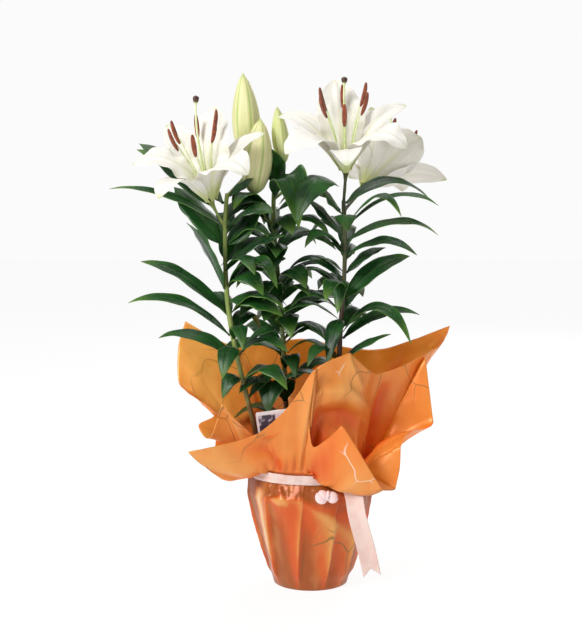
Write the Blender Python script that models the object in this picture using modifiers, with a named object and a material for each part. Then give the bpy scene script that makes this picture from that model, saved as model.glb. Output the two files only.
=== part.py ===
"""A potted lily: three flowering stems in a plastic pot, wrapped in two sheets of film tied with a ribbon.

Metres, +Z up. The origin is the centre of the flat underside that the wrapped pot stands on.
"""

import math
from dataclasses import dataclass, replace

import bmesh
import bpy
from mathutils import Matrix, Vector

# Clearances
TOUCH_GAP = 0.0003
SHEET_PLAY = 0.0009

# Pot
POT_HEIGHT = 0.119
POT_RIM_RADIUS = 0.0670
POT_BASE_RADIUS = 0.0395
POT_WALL = 0.0014
POT_LIP_HEIGHT = 0.014
POT_LIP_PROUD = 0.0020

# Soil, bulbs and label
SOIL_BELOW_RIM = 0.015
SOIL_SLUMP = 0.003
BULB_HEIGHT = 0.034
BULB_BED = 0.012
BULB_SHARE_OF_TRIPLE_FIT = 0.84
BULB_OUTLINE = ((0.62, 0.78), (0.95, 0.5), (1.0, 0.3), (0.8, 0.08))
BULB_BASE_SHARE = 0.4
CARD_WIDTH = 0.040
CARD_HEIGHT = 0.120
CARD_THICKNESS = 0.0008
CARD_DEPTH_IN_SOIL = 0.022
CARD_PLACE = (-0.026, -0.029)
CARD_TURN = -6.0
CARD_TILT = -8.0

# Wrapping film and ribbon
FILM_THICKNESS = 0.0005
TIE_ABOVE_RIM = 0.012
TIE_TUCK = 0.0010
RIM_FOLD = 0.001
FLARE_SHARES = (0.12, 0.3, 0.55, 0.8, 1.0)
BAND_WIDTH = 0.012
BAND_THICKNESS = 0.0008
RIBBON_WIDTH = 0.0195
RIBBON_THICKNESS = 0.0006
KNOT_SIZE = (0.017, 0.010, 0.013)
KNOT_HEADING = 282.0
KNOT_DROP = 0.006
KNOT_WAIST = 0.16
TAIL_LENGTH = 0.106
TAIL_NOTCH = 0.009
TAIL_PINCH = 0.45
TAIL_SPREAD = 3.5
TAIL_SWAY = 0.006
TAIL_DOWN = (0.37, 0.02, -0.93)
TAIL_ACROSS = (0.92, -0.10, 0.37)
COLUMNS = 48
ROUND_STEPS = 36
BULB_STEPS = 14
CORNER_ANGLE = 40.0
TANGENT_STEP = 1e-3
POLE_SHARE = 1e-4

# Stems
STEM_FOOT_RADIUS = 0.0036
STEM_TOP_RADIUS = 0.0026
PEDICEL_RADIUS = 0.0020
PEDICEL_BOW = 0.004

# Leaves and flowers
LEAF_THICKNESS = 0.0011
LEAF_CUP = -0.22
TEPAL_THICKNESS = 0.0012
TEPAL_CUP = -0.20
INNER_TEPAL_WIDTH = 0.048
OUTER_TEPAL_WIDTH = 0.034
TEPAL_LENGTH = 0.104
HUB_RADIUS = 0.0042
HUB_THICKNESS = 0.0020
WHORL_STEP = 0.0016
OUTER_CLEARANCE = 2.2 * WHORL_STEP
TEPAL_CURL = 1.5
TEPAL_STEPS = 40
INNER_LEAN = 11.0
OUTER_LEAN = 19.0
FILAMENT_LENGTH = 0.074
FILAMENT_RADIUS = 0.0008
FILAMENT_VARIETY = 0.05
FILAMENT_SPREAD = 0.015
FILAMENT_BEND = 0.007
FILAMENT_LIFT = 0.004
ANTHER_LENGTH = 0.027
ANTHER_RADIUS = 0.0024
ANTHER_LIE = (0.55, 0.35, 0.60)
PISTIL_LENGTH = 0.118
PISTIL_LIFT = 0.05
OVARY_RADIUS = 0.0019
STYLE_RADIUS = 0.0011
STIGMA_RADIUS = 0.0034
BUD_RIB = 0.05

# Levels that follow from the sizes above
POT_FLOOR = 2 * FILM_THICKNESS + 2 * TOUCH_GAP
RIM_LEVEL = POT_FLOOR + POT_HEIGHT
SOIL_LEVEL = RIM_LEVEL - SOIL_BELOW_RIM
TIE_LEVEL = RIM_LEVEL + TIE_ABOVE_RIM
BAND_TOP = TIE_LEVEL + BAND_WIDTH / 2
FLARE_LEVEL = BAND_TOP + TOUCH_GAP


@dataclass(frozen=True)
class Ray:
    """One line of film from the tie to the sheet's edge: where it leaves, where it ends, how it arches."""

    tie_angle: float
    azimuth: float
    spread: float
    rise: float
    arch: float = 0.006


@dataclass(frozen=True)
class Leaf:
    """A leaf: its foot's height above the soil, its heading in plan, the curve that it follows,
    and how many degrees its upper face turns to the front."""

    name: str
    stem: str
    height: float
    azimuth: float
    reach: float
    rise: float
    arch: float
    hook: float
    width: float
    face: float = 0.0


@dataclass(frozen=True)
class Tepal:
    """One of a flower's six tepals: heading round the flower, degrees it opens by, share of the length."""

    azimuth: float
    opening: float
    share: float = 1.0


@dataclass(frozen=True)
class Flower:
    """An open flower: its foot above the soil, its facing, and its tepals, outer and inner in turn."""

    name: str
    stem: str
    pedicel_height: float
    foot: tuple
    facing: tuple
    tepals: tuple
    pistil_share: float = 1.0


@dataclass(frozen=True)
class Bud:
    """A closed bud: foot and tip above the soil, and its greatest width."""

    name: str
    stem: str
    pedicel_height: float
    foot: tuple
    tip: tuple
    width: float


# Each stem's course above the soil: x, y, height
STEM_COURSES = {
    "left": (
        (-0.044, -0.014, 0.000), (-0.057, -0.017, 0.048), (-0.065, -0.019, 0.084), (-0.075, -0.020, 0.124),
        (-0.085, -0.020, 0.168), (-0.092, -0.020, 0.210), (-0.095, -0.020, 0.255), (-0.095, -0.020, 0.300),
        (-0.093, -0.018, 0.338),
    ),
    "middle": (
        (-0.016, 0.028, 0.000), (-0.026, 0.030, 0.055), (-0.029, 0.030, 0.118), (-0.032, 0.030, 0.175),
        (-0.037, 0.030, 0.240), (-0.042, 0.029, 0.300), (-0.042, 0.027, 0.342),
    ),
    "right": (
        (0.029, -0.014, 0.000), (0.031, -0.006, 0.070), (0.032, 0.000, 0.150), (0.034, 0.001, 0.195),
        (0.037, 0.001, 0.235), (0.038, 0.000, 0.280), (0.036, 0.000, 0.330),
    ),
}
BULB_ANGLES = {"left": 200.0, "middle": 80.0, "right": 320.0}

FLOWERS = (
    Flower(
        "flower_left", "left", 0.300, (-0.110, -0.026, 0.330), (-0.20, -0.40, 0.89),
        (
            Tepal(12, 96, 0.94), Tepal(66, 62), Tepal(120, 82),
            Tepal(178, 112), Tepal(240, 124), Tepal(314, 132),
        ),
        0.94,
    ),
    Flower(
        "flower_right", "right", 0.326, (0.038, -0.006, 0.362), (-0.05, -0.42, 0.90),
        (
            Tepal(28, 102), Tepal(98, 60), Tepal(152, 112),
            Tepal(212, 138), Tepal(270, 124, 0.92), Tepal(328, 138),
        ),
        0.84,
    ),
    Flower(
        "flower_rear", "right", 0.318, (0.062, 0.048, 0.344), (0.48, 0.62, 0.62),
        (
            Tepal(10, 86), Tepal(70, 84, 0.9), Tepal(130, 98, 0.9),
            Tepal(190, 100, 0.9), Tepal(250, 92, 0.9), Tepal(310, 104, 0.9),
        ),
        0.85,
    ),
)

BUDS = (
    Bud("bud_tall", "left", 0.334, (-0.070, 0.043, 0.368), (-0.077, 0.041, 0.473), 0.032),
    Bud("bud_slim", "middle", 0.338, (-0.031, 0.022, 0.368), (-0.038, 0.016, 0.434), 0.019),
    Bud("bud_swelling", "middle", 0.300, (-0.064, 0.008, 0.334), (-0.056, 0.002, 0.420), 0.034),
    Bud("bud_green", "middle", 0.330, (-0.024, 0.040, 0.344), (-0.004, 0.046, 0.358), 0.012),
)

LEAVES = (
    Leaf("leaf_left_1", "left", 0.326, 158, 0.108, 0.060, 0.010, 0.1, 0.020, 24),
    Leaf("leaf_left_2", "left", 0.302, 172, 0.128, 0.040, 0.014, 0.1, 0.018, 18),
    Leaf("leaf_left_3", "left", 0.232, 212, 0.046, 0.074, 0.010, 0.1, 0.028, 40),
    Leaf("leaf_left_4", "left", 0.206, 176, 0.095, 0.056, 0.012, 0.1, 0.022, 30),
    Leaf("leaf_left_5", "left", 0.180, 190, 0.112, 0.038, 0.020, 0.1, 0.021, 24),
    Leaf("leaf_left_6", "left", 0.154, 174, 0.086, 0.022, 0.014, 0.1, 0.019, 30),
    Leaf("leaf_left_7", "left", 0.236, 318, 0.074, 0.000, 0.030, 0.3, 0.020, 16),
    Leaf("leaf_middle_1", "middle", 0.332, 300, 0.054, -0.034, 0.040, 0.4, 0.031, 20),
    Leaf("leaf_middle_2", "middle", 0.098, 246, 0.046, -0.008, 0.030, 0.5, 0.042),
    Leaf("leaf_middle_3", "middle", 0.196, 20, 0.085, 0.010, 0.018, 0.2, 0.024, 20),
    Leaf("leaf_middle_4", "middle", 0.150, 130, 0.080, 0.020, 0.020, 0.2, 0.024, 20),
    Leaf("leaf_right_1", "right", 0.326, 18, 0.102, 0.004, 0.022, 0.1, 0.019, 26),
    Leaf("leaf_right_2", "right", 0.300, 346, 0.102, 0.024, 0.022, 0.1, 0.015, 20),
    Leaf("leaf_right_3", "right", 0.284, 8, 0.104, 0.006, 0.018, 0.2, 0.018, 22),
    Leaf("leaf_right_4", "right", 0.268, 336, 0.082, 0.002, 0.015, 0.1, 0.019, 24),
    Leaf("leaf_right_5", "right", 0.220, 14, 0.076, 0.046, 0.010, 0.0, 0.024, 40),
    Leaf("leaf_right_6", "right", 0.182, 334, 0.082, -0.010, 0.034, 0.2, 0.020, 26),
    Leaf("leaf_right_7", "right", 0.174, 6, 0.088, 0.026, 0.015, 0.0, 0.018, 30),
)

INNER_RAYS = (
    Ray(22.5, 23, 0.112, 0.148), Ray(45, 45, 0.060, 0.118), Ray(67.5, 70, 0.038, 0.120),
    Ray(97.5, 95, 0.036, 0.128), Ray(127.5, 127, 0.050, 0.122), Ray(142.5, 140, 0.061, 0.124),
    Ray(150, 151, 0.102, 0.152), Ray(157.5, 158, 0.100, 0.124), Ray(165, 163, 0.094, 0.088),
    Ray(172.5, 170, 0.076, 0.076), Ray(180, 182, 0.042, 0.056), Ray(187.5, 187, 0.060, 0.045),
    Ray(195, 195, 0.050, 0.034), Ray(202.5, 203, 0.040, 0.074), Ray(225, 228, 0.018, 0.040, 0.010),
    Ray(247.5, 250, 0.008, 0.069, 0.010), Ray(270, 270, 0.006, 0.105, 0.010), Ray(300, 301, 0.010, 0.131),
    Ray(315, 319, 0.014, 0.114), Ray(330, 335, 0.012, 0.106), Ray(352.5, 352, 0.008, 0.124),
)

OUTER_RAYS = (
    Ray(7.5, 10, 0.060, 0.106), Ray(22.5, 23, 0.058, 0.060), Ray(52.5, 52, 0.048, 0.050),
    Ray(75, 75, 0.054, 0.064), Ray(97.5, 98, 0.078, 0.084), Ray(120, 120, 0.044, 0.050),
    Ray(157.5, 157, 0.044, 0.034), Ray(180, 180, 0.040, 0.020), Ray(195, 195, 0.042, 0.010),
    Ray(210, 212, 0.086, 0.029, 0.010), Ray(217.5, 216, 0.060, 0.010, 0.010), Ray(225, 221, 0.027, -0.004),
    Ray(247.5, 248, 0.012, -0.004), Ray(270, 273, 0.012, -0.004), Ray(292.5, 296, 0.040, -0.004, 0.034),
    Ray(307.5, 312, 0.070, -0.009, 0.030), Ray(315, 315, 0.064, 0.018, 0.016),
    Ray(322.5, 327, 0.046, 0.034), Ray(345, 346, 0.077, 0.052, 0.010), Ray(352.5, 354, 0.058, 0.130),
)

# Materials: colour, roughness, metallic
FINISHES = {
    "pot_plastic": ((0.10, 0.05, 0.035), 0.55, 0.0),
    "potting_soil": ((0.045, 0.028, 0.018), 0.95, 0.0),
    "bulb_scales": ((0.72, 0.62, 0.42), 0.60, 0.0),
    "card": ((0.88, 0.80, 0.80), 0.55, 0.0),
    "film": ((0.85, 0.33, 0.11), 0.35, 0.0),
    "ribbon": ((0.93, 0.72, 0.68), 0.35, 0.0),
    "stem_green": ((0.22, 0.27, 0.07), 0.50, 0.0),
    "leaf_green": ((0.04, 0.15, 0.03), 0.40, 0.0),
    "petal_white": ((0.93, 0.92, 0.88), 0.50, 0.0),
    "bud_cream": ((0.80, 0.82, 0.55), 0.50, 0.0),
    "pistil_green": ((0.62, 0.72, 0.36), 0.45, 0.0),
    "anther_rust": ((0.22, 0.05, 0.02), 0.80, 0.0),
}


def clear_scene():
    for obj in list(bpy.data.objects):
        bpy.data.objects.remove(obj, do_unlink=True)


def make_collection(name):
    collection = bpy.data.collections.new(name)
    bpy.context.scene.collection.children.link(collection)
    return collection


def make_material(name):
    colour, roughness, metallic = FINISHES[name]
    material = bpy.data.materials.new(name)
    material.use_nodes = True
    shader = material.node_tree.nodes["Principled BSDF"]
    shader.inputs["Base Color"].default_value = (*colour, 1.0)
    shader.inputs["Roughness"].default_value = roughness
    shader.inputs["Metallic"].default_value = metallic
    material.diffuse_color = (*colour, 1.0)
    return material


class Workshop:
    """Holds the two collections and the materials, and adds finished pieces to them."""

    def __init__(self):
        self.parts = make_collection("potted_lily")
        self.cutters = make_collection("cutters")
        self.materials = {name: make_material(name) for name in FINISHES}

    def add_mesh(self, name, mesh, material):
        for polygon in mesh.polygons:
            polygon.use_smooth = True
        mesh.set_sharp_from_angle(angle=math.radians(CORNER_ANGLE))
        mesh.materials.append(self.materials[material])
        obj = bpy.data.objects.new(name, mesh)
        self.parts.objects.link(obj)
        return obj

    def add_bmesh(self, name, bm, material):
        mesh = bpy.data.meshes.new(name)
        bm.to_mesh(mesh)
        bm.free()
        return self.add_mesh(name, mesh, material)

    def as_cutter(self, obj):
        """Moves a helper out of the parts, hidden from renders."""
        self.parts.objects.unlink(obj)
        self.cutters.objects.link(obj)
        obj.hide_render = True
        obj.display_type = "WIRE"
        return obj


def heading(degrees, elevation=0.0):
    """The unit vector with this compass heading in plan, counted from +X towards +Y."""
    turn = math.radians(degrees)
    lift = math.radians(elevation)
    return Vector((math.cos(turn) * math.cos(lift), math.sin(turn) * math.cos(lift), math.sin(lift)))


def smooth_course(points, per_span=2):
    """Points of a smooth curve through the given ones, with per_span steps between each pair."""
    ends = [points[0] + (points[0] - points[1])] + list(points) + [points[-1] + (points[-1] - points[-2])]
    course = []
    for i in range(1, len(ends) - 2):
        before, start, end, after = ends[i - 1: i + 3]
        for step in range(per_span):
            t = step / per_span
            course.append(
                0.5 * (
                    2 * start
                    + (end - before) * t
                    + (2 * before - 5 * start + 4 * end - after) * t ** 2
                    + (3 * start - before - 3 * end + after) * t ** 3
                )
            )
    return course + [points[-1]]


def tube(shop, name, points, radii, material, resolution=2):
    """A round rod along the points, thickening and thinning with the radii, as a mesh object."""
    curve = bpy.data.curves.new(name + "_line", "CURVE")
    curve.dimensions = "3D"
    curve.bevel_depth = 1.0
    curve.bevel_resolution = resolution
    curve.use_fill_caps = True
    line = curve.splines.new("POLY")
    line.points.add(len(points) - 1)
    for knot, place, radius in zip(line.points, points, radii):
        knot.co = (*place, 1.0)
        knot.radius = radius
    guide = bpy.data.objects.new(name + "_line", curve)
    shop.parts.objects.link(guide)
    bpy.context.view_layer.update()
    graph = bpy.context.evaluated_depsgraph_get()
    mesh = bpy.data.meshes.new_from_object(guide.evaluated_get(graph))
    mesh.name = name
    bpy.data.objects.remove(guide, do_unlink=True)
    bm = bmesh.new()
    bm.from_mesh(mesh)
    bmesh.ops.remove_doubles(bm, verts=bm.verts, dist=1e-6)
    bmesh.ops.recalc_face_normals(bm, faces=bm.faces)
    bm.to_mesh(mesh)
    bm.free()
    mesh.materials.clear()
    return shop.add_mesh(name, mesh, material)


def turned(shop, name, profile, material, steps=32):
    """A solid turned about +Z from a profile of (radius, height), running down the outer side."""
    bm = bmesh.new()
    knots = [bm.verts.new((radius, 0.0, height)) for radius, height in profile]
    for above, below in zip(knots, knots[1:]):
        bm.edges.new((above, below))
    obj = shop.add_bmesh(name, bm, material)
    screw = obj.modifiers.new("turn", "SCREW")
    screw.steps = steps
    screw.render_steps = steps
    screw.use_merge_vertices = True
    screw.merge_threshold = 0.00005
    screw.use_smooth_shade = True
    return obj


def face_outwards(bm):
    """Turns a closed surface round if its faces point inwards."""
    if bm.calc_volume(signed=True) < 0:
        bmesh.ops.reverse_faces(bm, faces=bm.faces)


def boolean(obj, other, operation):
    modifier = obj.modifiers.new(f"{operation.lower()}_{other.name}", "BOOLEAN")
    modifier.operation = operation
    modifier.object = other
    modifier.solver = "EXACT"


def at_pole(along):
    return min(along, 1 - along) < POLE_SHARE


def blade(shop, name, spine, across, half_width, thickness, cup, material, sides, stations):
    """A thin closed blade along a spine: a sphere's poles become foot and tip, its rings the sections."""
    bm = bmesh.new()
    bmesh.ops.create_uvsphere(bm, u_segments=sides, v_segments=stations, radius=1.0)
    for vert in bm.verts:
        along = math.acos(max(-1.0, min(1.0, vert.co.z))) / math.pi
        turn = math.atan2(vert.co.y, vert.co.x)
        centre = spine(along)
        if at_pole(along):
            vert.co = centre
            continue
        forward = (spine(along + TANGENT_STEP) - spine(along - TANGENT_STEP)).normalized()
        side = across(along, forward)
        up = side.cross(forward).normalized()
        wide = half_width(along)
        edge = abs(math.cos(turn))
        deep = thickness / 2 * math.sin(turn) * math.sin(math.pi * along) ** 0.25
        vert.co = centre + side * math.cos(turn) * wide + up * (deep + cup * wide * edge ** 2)
    face_outwards(bm)
    shop.add_bmesh(name, bm, material)


def lance(along, widest, tip_power=1.0):
    """A lance-shaped outline, 0 at both ends and 1 where the blade is widest."""
    foot_power = tip_power * widest / (1 - widest)
    peak = widest ** foot_power * (1 - widest) ** tip_power
    return max(0.0, along) ** foot_power * max(0.0, 1 - along) ** tip_power / peak


def pot_outer_radius(height):
    """The tapering wall's outer radius at a height above the pot's own foot."""
    share = height / (POT_HEIGHT - POT_LIP_HEIGHT)
    return POT_BASE_RADIUS + (POT_RIM_RADIUS - POT_LIP_PROUD - POT_BASE_RADIUS) * min(share, 1.0)


def pot_inner_radius(height):
    """The inner wall runs from the floor's top to the rim's foot, one wall thickness inside the outer one."""
    share = (height - POT_WALL) / (POT_HEIGHT - POT_LIP_HEIGHT - POT_WALL)
    low = POT_BASE_RADIUS - POT_WALL
    return low + (POT_RIM_RADIUS - POT_LIP_PROUD - POT_BASE_RADIUS) * min(share, 1.0)


def bulb_radius():
    """Three equal bulbs side by side just fit a circle of 1 + 2 / sqrt(3) times their radius."""
    widest = BULB_OUTLINE[2][1]
    room = pot_inner_radius(BULB_BED + BULB_HEIGHT * widest) - 2 * TOUCH_GAP
    return BULB_SHARE_OF_TRIPLE_FIT * room / (1 + 2 / math.sqrt(3))


def bulb_foot(stem):
    """The middle of a bulb's underside."""
    ring = pot_inner_radius(BULB_BED) - 2 * TOUCH_GAP - bulb_radius()
    return heading(BULB_ANGLES[stem]) * ring + Vector((0, 0, POT_FLOOR + BULB_BED))


def bulb_profile(grow=0.0):
    """From the neck down the outer side to the middle of the base, made larger all round by grow."""
    radius = bulb_radius() + grow
    high = BULB_HEIGHT + grow
    side = [(radius * out, BULB_HEIGHT * up) for out, up in BULB_OUTLINE]
    base = [(radius * BULB_BASE_SHARE, -grow), (0.0, -grow)]
    return [(0.0, high), (STEM_FOOT_RADIUS + grow, high), *side, *base]


def stem_course(stem):
    """The stem's centre line, from just above its bulb to its top."""
    foot = bulb_foot(stem) + Vector((0, 0, BULB_HEIGHT + TOUCH_GAP))
    above = [Vector((x, y, SOIL_LEVEL + height)) for x, y, height in STEM_COURSES[stem]]
    return [foot] + smooth_course([foot + Vector((0, 0, 0.004))] + above)


def stem_radius(share):
    return STEM_FOOT_RADIUS + (STEM_TOP_RADIUS - STEM_FOOT_RADIUS) * share


def stem_at(stem, height):
    """The centre and radius of a stem at a height above the soil."""
    course = stem_course(stem)
    level = SOIL_LEVEL + height
    last = len(course) - 1
    for i, (low, high) in enumerate(zip(course, course[1:])):
        if low.z <= level <= high.z:
            t = (level - low.z) / (high.z - low.z)
            return low.lerp(high, t), stem_radius((i + t) / last)
    return course[-1], STEM_TOP_RADIUS


def build_pot(shop):
    rim = POT_RIM_RADIUS
    wall_top = POT_HEIGHT - POT_LIP_HEIGHT
    profile = [
        (rim - POT_LIP_PROUD - POT_WALL, POT_HEIGHT), (rim, POT_HEIGHT), (rim, wall_top + POT_WALL),
        (pot_outer_radius(wall_top), wall_top), (POT_BASE_RADIUS, 0.0), (0.0, 0.0),
    ]
    inside = [
        (0.0, POT_WALL), (pot_inner_radius(POT_WALL), POT_WALL),
        (pot_inner_radius(wall_top), wall_top), profile[0],
    ]
    raised = [(radius, height + POT_FLOOR) for radius, height in profile + inside]
    turned(shop, "pot", raised, "pot_plastic", ROUND_STEPS)


def build_soil(shop):
    """Potting soil up to its level, with pockets for the bulbs and stems and a slot for the card."""
    foot = POT_WALL + TOUCH_GAP
    top = SOIL_LEVEL - POT_FLOOR
    crumbled = top - SOIL_SLUMP
    wall_top = POT_HEIGHT - POT_LIP_HEIGHT
    shoulder = min(crumbled, wall_top)
    profile = [(0.0, top), (pot_inner_radius(top) - TOUCH_GAP - SOIL_SLUMP, top)]
    if crumbled > wall_top:
        profile.append((pot_inner_radius(top) - TOUCH_GAP, crumbled))
    profile += [
        (pot_inner_radius(shoulder) - TOUCH_GAP, shoulder),
        (pot_inner_radius(foot) - TOUCH_GAP, foot), (0.0, foot),
    ]
    soil = turned(shop, "soil", [(r, h + POT_FLOOR) for r, h in profile], "potting_soil", ROUND_STEPS)
    for stem in STEM_COURSES:
        pocket = turned(shop, f"pocket_{stem}", bulb_profile(TOUCH_GAP), "potting_soil", BULB_STEPS)
        pocket.location = bulb_foot(stem)
        shop.as_cutter(pocket)
        boolean(soil, pocket, "DIFFERENCE")
        whole = stem_course(stem)
        above = next(i for i, place in enumerate(whole) if place.z > SOIL_LEVEL + SOIL_SLUMP)
        course = [whole[0] - Vector((0, 0, BULB_HEIGHT / 3))] + whole[: above + 1]
        hole = tube(
            shop, f"hole_{stem}", course, [STEM_FOOT_RADIUS + 2 * TOUCH_GAP] * len(course), "potting_soil"
        )
        shop.as_cutter(hole)
        boolean(soil, hole, "DIFFERENCE")
    slot = card_block(shop, "card_slot", 2 * TOUCH_GAP)
    shop.as_cutter(slot)
    boolean(soil, slot, "DIFFERENCE")


def build_bulb(shop, stem):
    bulb = turned(shop, f"bulb_{stem}", bulb_profile(), "bulb_scales", BULB_STEPS)
    bulb.location = bulb_foot(stem)


def card_block(shop, name, grow=0.0):
    """The label card's block, standing in the soil between the left and middle stems."""
    bm = bmesh.new()
    bmesh.ops.create_cube(bm, size=1.0)
    size = (CARD_WIDTH + 2 * grow, CARD_THICKNESS + 2 * grow, CARD_HEIGHT + 2 * grow)
    bmesh.ops.scale(bm, verts=bm.verts, vec=size)
    bmesh.ops.translate(bm, verts=bm.verts, vec=(0, 0, CARD_HEIGHT / 2))
    lean = Matrix.Rotation(math.radians(CARD_TILT), 4, "Y")
    turn = Matrix.Rotation(math.radians(CARD_TURN), 4, "Z") @ lean
    place = Matrix.Translation((CARD_PLACE[0], CARD_PLACE[1], SOIL_LEVEL - CARD_DEPTH_IN_SOIL))
    bmesh.ops.transform(bm, verts=bm.verts, matrix=place @ turn)
    return shop.add_bmesh(name, bm, "card")


def flower_frame(flower):
    """The flower's foot, its facing direction, and the two directions across it."""
    facing = Vector(flower.facing).normalized()
    x, y, height = flower.foot
    rightward = (Vector((1, 0, 0)) - facing * facing.x).normalized()
    return Vector((x, y, SOIL_LEVEL + height)), facing, rightward, facing.cross(rightward)


def build_stem(shop, stem):
    course = stem_course(stem)
    last = len(course) - 1
    radii = [stem_radius(i / last) for i in range(len(course))]
    body = tube(shop, f"stem_{stem}", course, radii, "stem_green")
    for flower in FLOWERS:
        if flower.stem == stem:
            foot, facing, _, _ = flower_frame(flower)
            start, _ = stem_at(stem, flower.pedicel_height)
            bend = start.lerp(foot, 0.55) - facing * PEDICEL_BOW
            neck = foot - facing * HUB_RADIUS * 1.2
            branch = smooth_course([start, bend, neck]) + [foot - facing * HUB_THICKNESS, foot]
            radii = [PEDICEL_RADIUS] * (len(branch) - 3) + [HUB_RADIUS * 0.7, HUB_RADIUS, HUB_RADIUS]
            join(shop, body, f"pedicel_{flower.name}", branch, radii)
    for bud in BUDS:
        if bud.stem == stem:
            foot = Vector(bud.foot) + Vector((0, 0, SOIL_LEVEL))
            aim = (Vector(bud.tip) - Vector(bud.foot)).normalized()
            start, _ = stem_at(stem, bud.pedicel_height)
            bend = start.lerp(foot, 0.6) - aim * PEDICEL_BOW
            neck = foot - aim * 2 * PEDICEL_RADIUS
            branch = smooth_course([start, bend, neck]) + [foot - aim * TOUCH_GAP]
            join(shop, body, f"pedicel_{bud.name}", branch, [PEDICEL_RADIUS] * len(branch))


def join(shop, body, name, course, radii):
    branch = tube(shop, name, course, radii, "stem_green", 1)
    shop.as_cutter(branch)
    boolean(body, branch, "UNION")


def build_leaf(shop, leaf):
    root, radius = stem_at(leaf.stem, leaf.height)
    out = heading(leaf.azimuth)
    side = Vector((-out.y, out.x, 0))
    start = root + out * (radius + TOUCH_GAP)

    def spine(t):
        run = leaf.reach * (t + leaf.hook * t * (1 - t))
        lift = leaf.rise * t + 4 * leaf.arch * t * (1 - t)
        return start + out * run + Vector((0, 0, lift))

    def across(_, forward):
        level = (side - forward * side.dot(forward)).normalized()
        return Matrix.Rotation(math.radians(math.copysign(leaf.face, out.x)), 3, forward) @ level

    def half_width(t):
        return leaf.width / 2 * lance(t, 0.42, 0.9)

    blade(shop, leaf.name, spine, across, half_width, LEAF_THICKNESS, LEAF_CUP, "leaf_green", 4, 9)


def build_tepal(shop, flower, index, tepal):
    """The odd tepals are the three broad inner ones; the outer ones stand a step further out."""
    foot, facing, rightward, rearward = flower_frame(flower)
    turn = math.radians(tepal.azimuth)
    out = rightward * math.cos(turn) + rearward * math.sin(turn)
    side = facing.cross(out)
    outer = index % 2 == 0
    length = TEPAL_LENGTH * tepal.share
    start = foot + out * (HUB_RADIUS + TOUCH_GAP + (WHORL_STEP if outer else 0.0))
    rise = OUTER_LEAN if outer else INNER_LEAN
    course = [start]
    for i in range(TEPAL_STEPS + 1):
        lean = math.radians(rise + (tepal.opening - rise) * ((i + 0.5) / TEPAL_STEPS) ** TEPAL_CURL)
        onward = facing * math.cos(lean) + out * math.sin(lean)
        course.append(course[-1] + onward * length / TEPAL_STEPS)

    def spine(t):
        whole = max(0.0, t) * TEPAL_STEPS
        i = min(int(whole), TEPAL_STEPS)
        place = course[i].lerp(course[i + 1], whole - i)
        clear = OUTER_CLEARANCE * math.sin(math.pi * min(1.0, max(0.0, t))) if outer else 0.0
        return place + out * clear

    def across(_, forward):
        return (side - forward * side.dot(forward)).normalized()

    width = OUTER_TEPAL_WIDTH if outer else INNER_TEPAL_WIDTH

    def half_width(t):
        return width / 2 * (0.10 * math.sin(math.pi * t) ** 0.5 + 0.90 * lance(t, 0.56, 1.1))

    name = f"{flower.name}_tepal_{index + 1}"
    blade(shop, name, spine, across, half_width, TEPAL_THICKNESS, TEPAL_CUP, "petal_white", 6, 11)


def build_stamens(shop, flower):
    """Six filaments with their anthers, joined where they spring from one small disc."""
    foot, facing, rightward, rearward = flower_frame(flower)
    seat = foot + facing * TOUCH_GAP
    top = seat + facing * HUB_THICKNESS
    body = tube(
        shop, f"{flower.name}_stamens", [seat, top], [HUB_RADIUS, HUB_RADIUS * 0.95], "anther_rust", 2
    )
    for i in range(6):
        turn = math.radians(60 * i + 30)
        out = rightward * math.cos(turn) + rearward * math.sin(turn)
        reach = FILAMENT_LENGTH * (1.0 + FILAMENT_VARIETY * math.cos(2.4 * i))
        start = top - facing * HUB_THICKNESS / 2 + out * (HUB_RADIUS - 1.4 * FILAMENT_RADIUS)
        line = [
            start + facing * reach * t + out * (FILAMENT_SPREAD * t + FILAMENT_BEND * t ** 3)
            + Vector((0, 0, FILAMENT_LIFT * t ** 3))
            for t in (0.0, 0.25, 0.5, 0.75, 1.0)
        ]
        filament = tube(shop, f"filament_{flower.name}_{i}", line, [FILAMENT_RADIUS] * 5, "anther_rust", 0)
        shop.as_cutter(filament)
        boolean(body, filament, "UNION")
        lie = (facing * ANTHER_LIE[0] + out * ANTHER_LIE[1] + Vector((0, 0, ANTHER_LIE[2]))).normalized()
        centre = line[-1] + out * (ANTHER_RADIUS * 0.6)
        anther = spindle(shop, f"anther_{flower.name}_{i}", centre, lie)
        shop.as_cutter(anther)
        boolean(body, anther, "UNION")


def spindle(shop, name, centre, lie):
    """An anther: a slim ellipsoid along lie."""
    bm = bmesh.new()
    bmesh.ops.create_uvsphere(bm, u_segments=6, v_segments=6, radius=1.0)
    bmesh.ops.scale(bm, verts=bm.verts, vec=(ANTHER_RADIUS, ANTHER_RADIUS, ANTHER_LENGTH / 2))
    turn = lie.to_track_quat("Z", "Y").to_matrix().to_4x4()
    bmesh.ops.transform(bm, verts=bm.verts, matrix=Matrix.Translation(centre) @ turn)
    return shop.add_bmesh(name, bm, "anther_rust")


def build_pistil(shop, flower):
    """Ovary, long style and the three-lobed stigma's knob, curving up from the middle of the flower."""
    foot, facing, _, _ = flower_frame(flower)
    seat = foot + facing * (HUB_THICKNESS + 2 * TOUCH_GAP)
    length = PISTIL_LENGTH * flower.pistil_share
    lift = Vector((0, 0, 1)) - facing * facing.z
    ovary = [(share, OVARY_RADIUS) for share in (0.0, 0.10, 0.20)]
    style = [(share, STYLE_RADIUS) for share in (0.26, 0.4, 0.55, 0.7, 0.82, 0.92)]
    stigma = [(0.95, STIGMA_RADIUS * 0.9), (0.985, STIGMA_RADIUS), (1.0, STIGMA_RADIUS * 0.5)]
    shares, radii = zip(*ovary, *style, *stigma)
    line = [seat + facing * length * t + lift * PISTIL_LIFT * t ** 3 for t in shares]
    tube(shop, f"{flower.name}_pistil", line, radii, "pistil_green")


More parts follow.
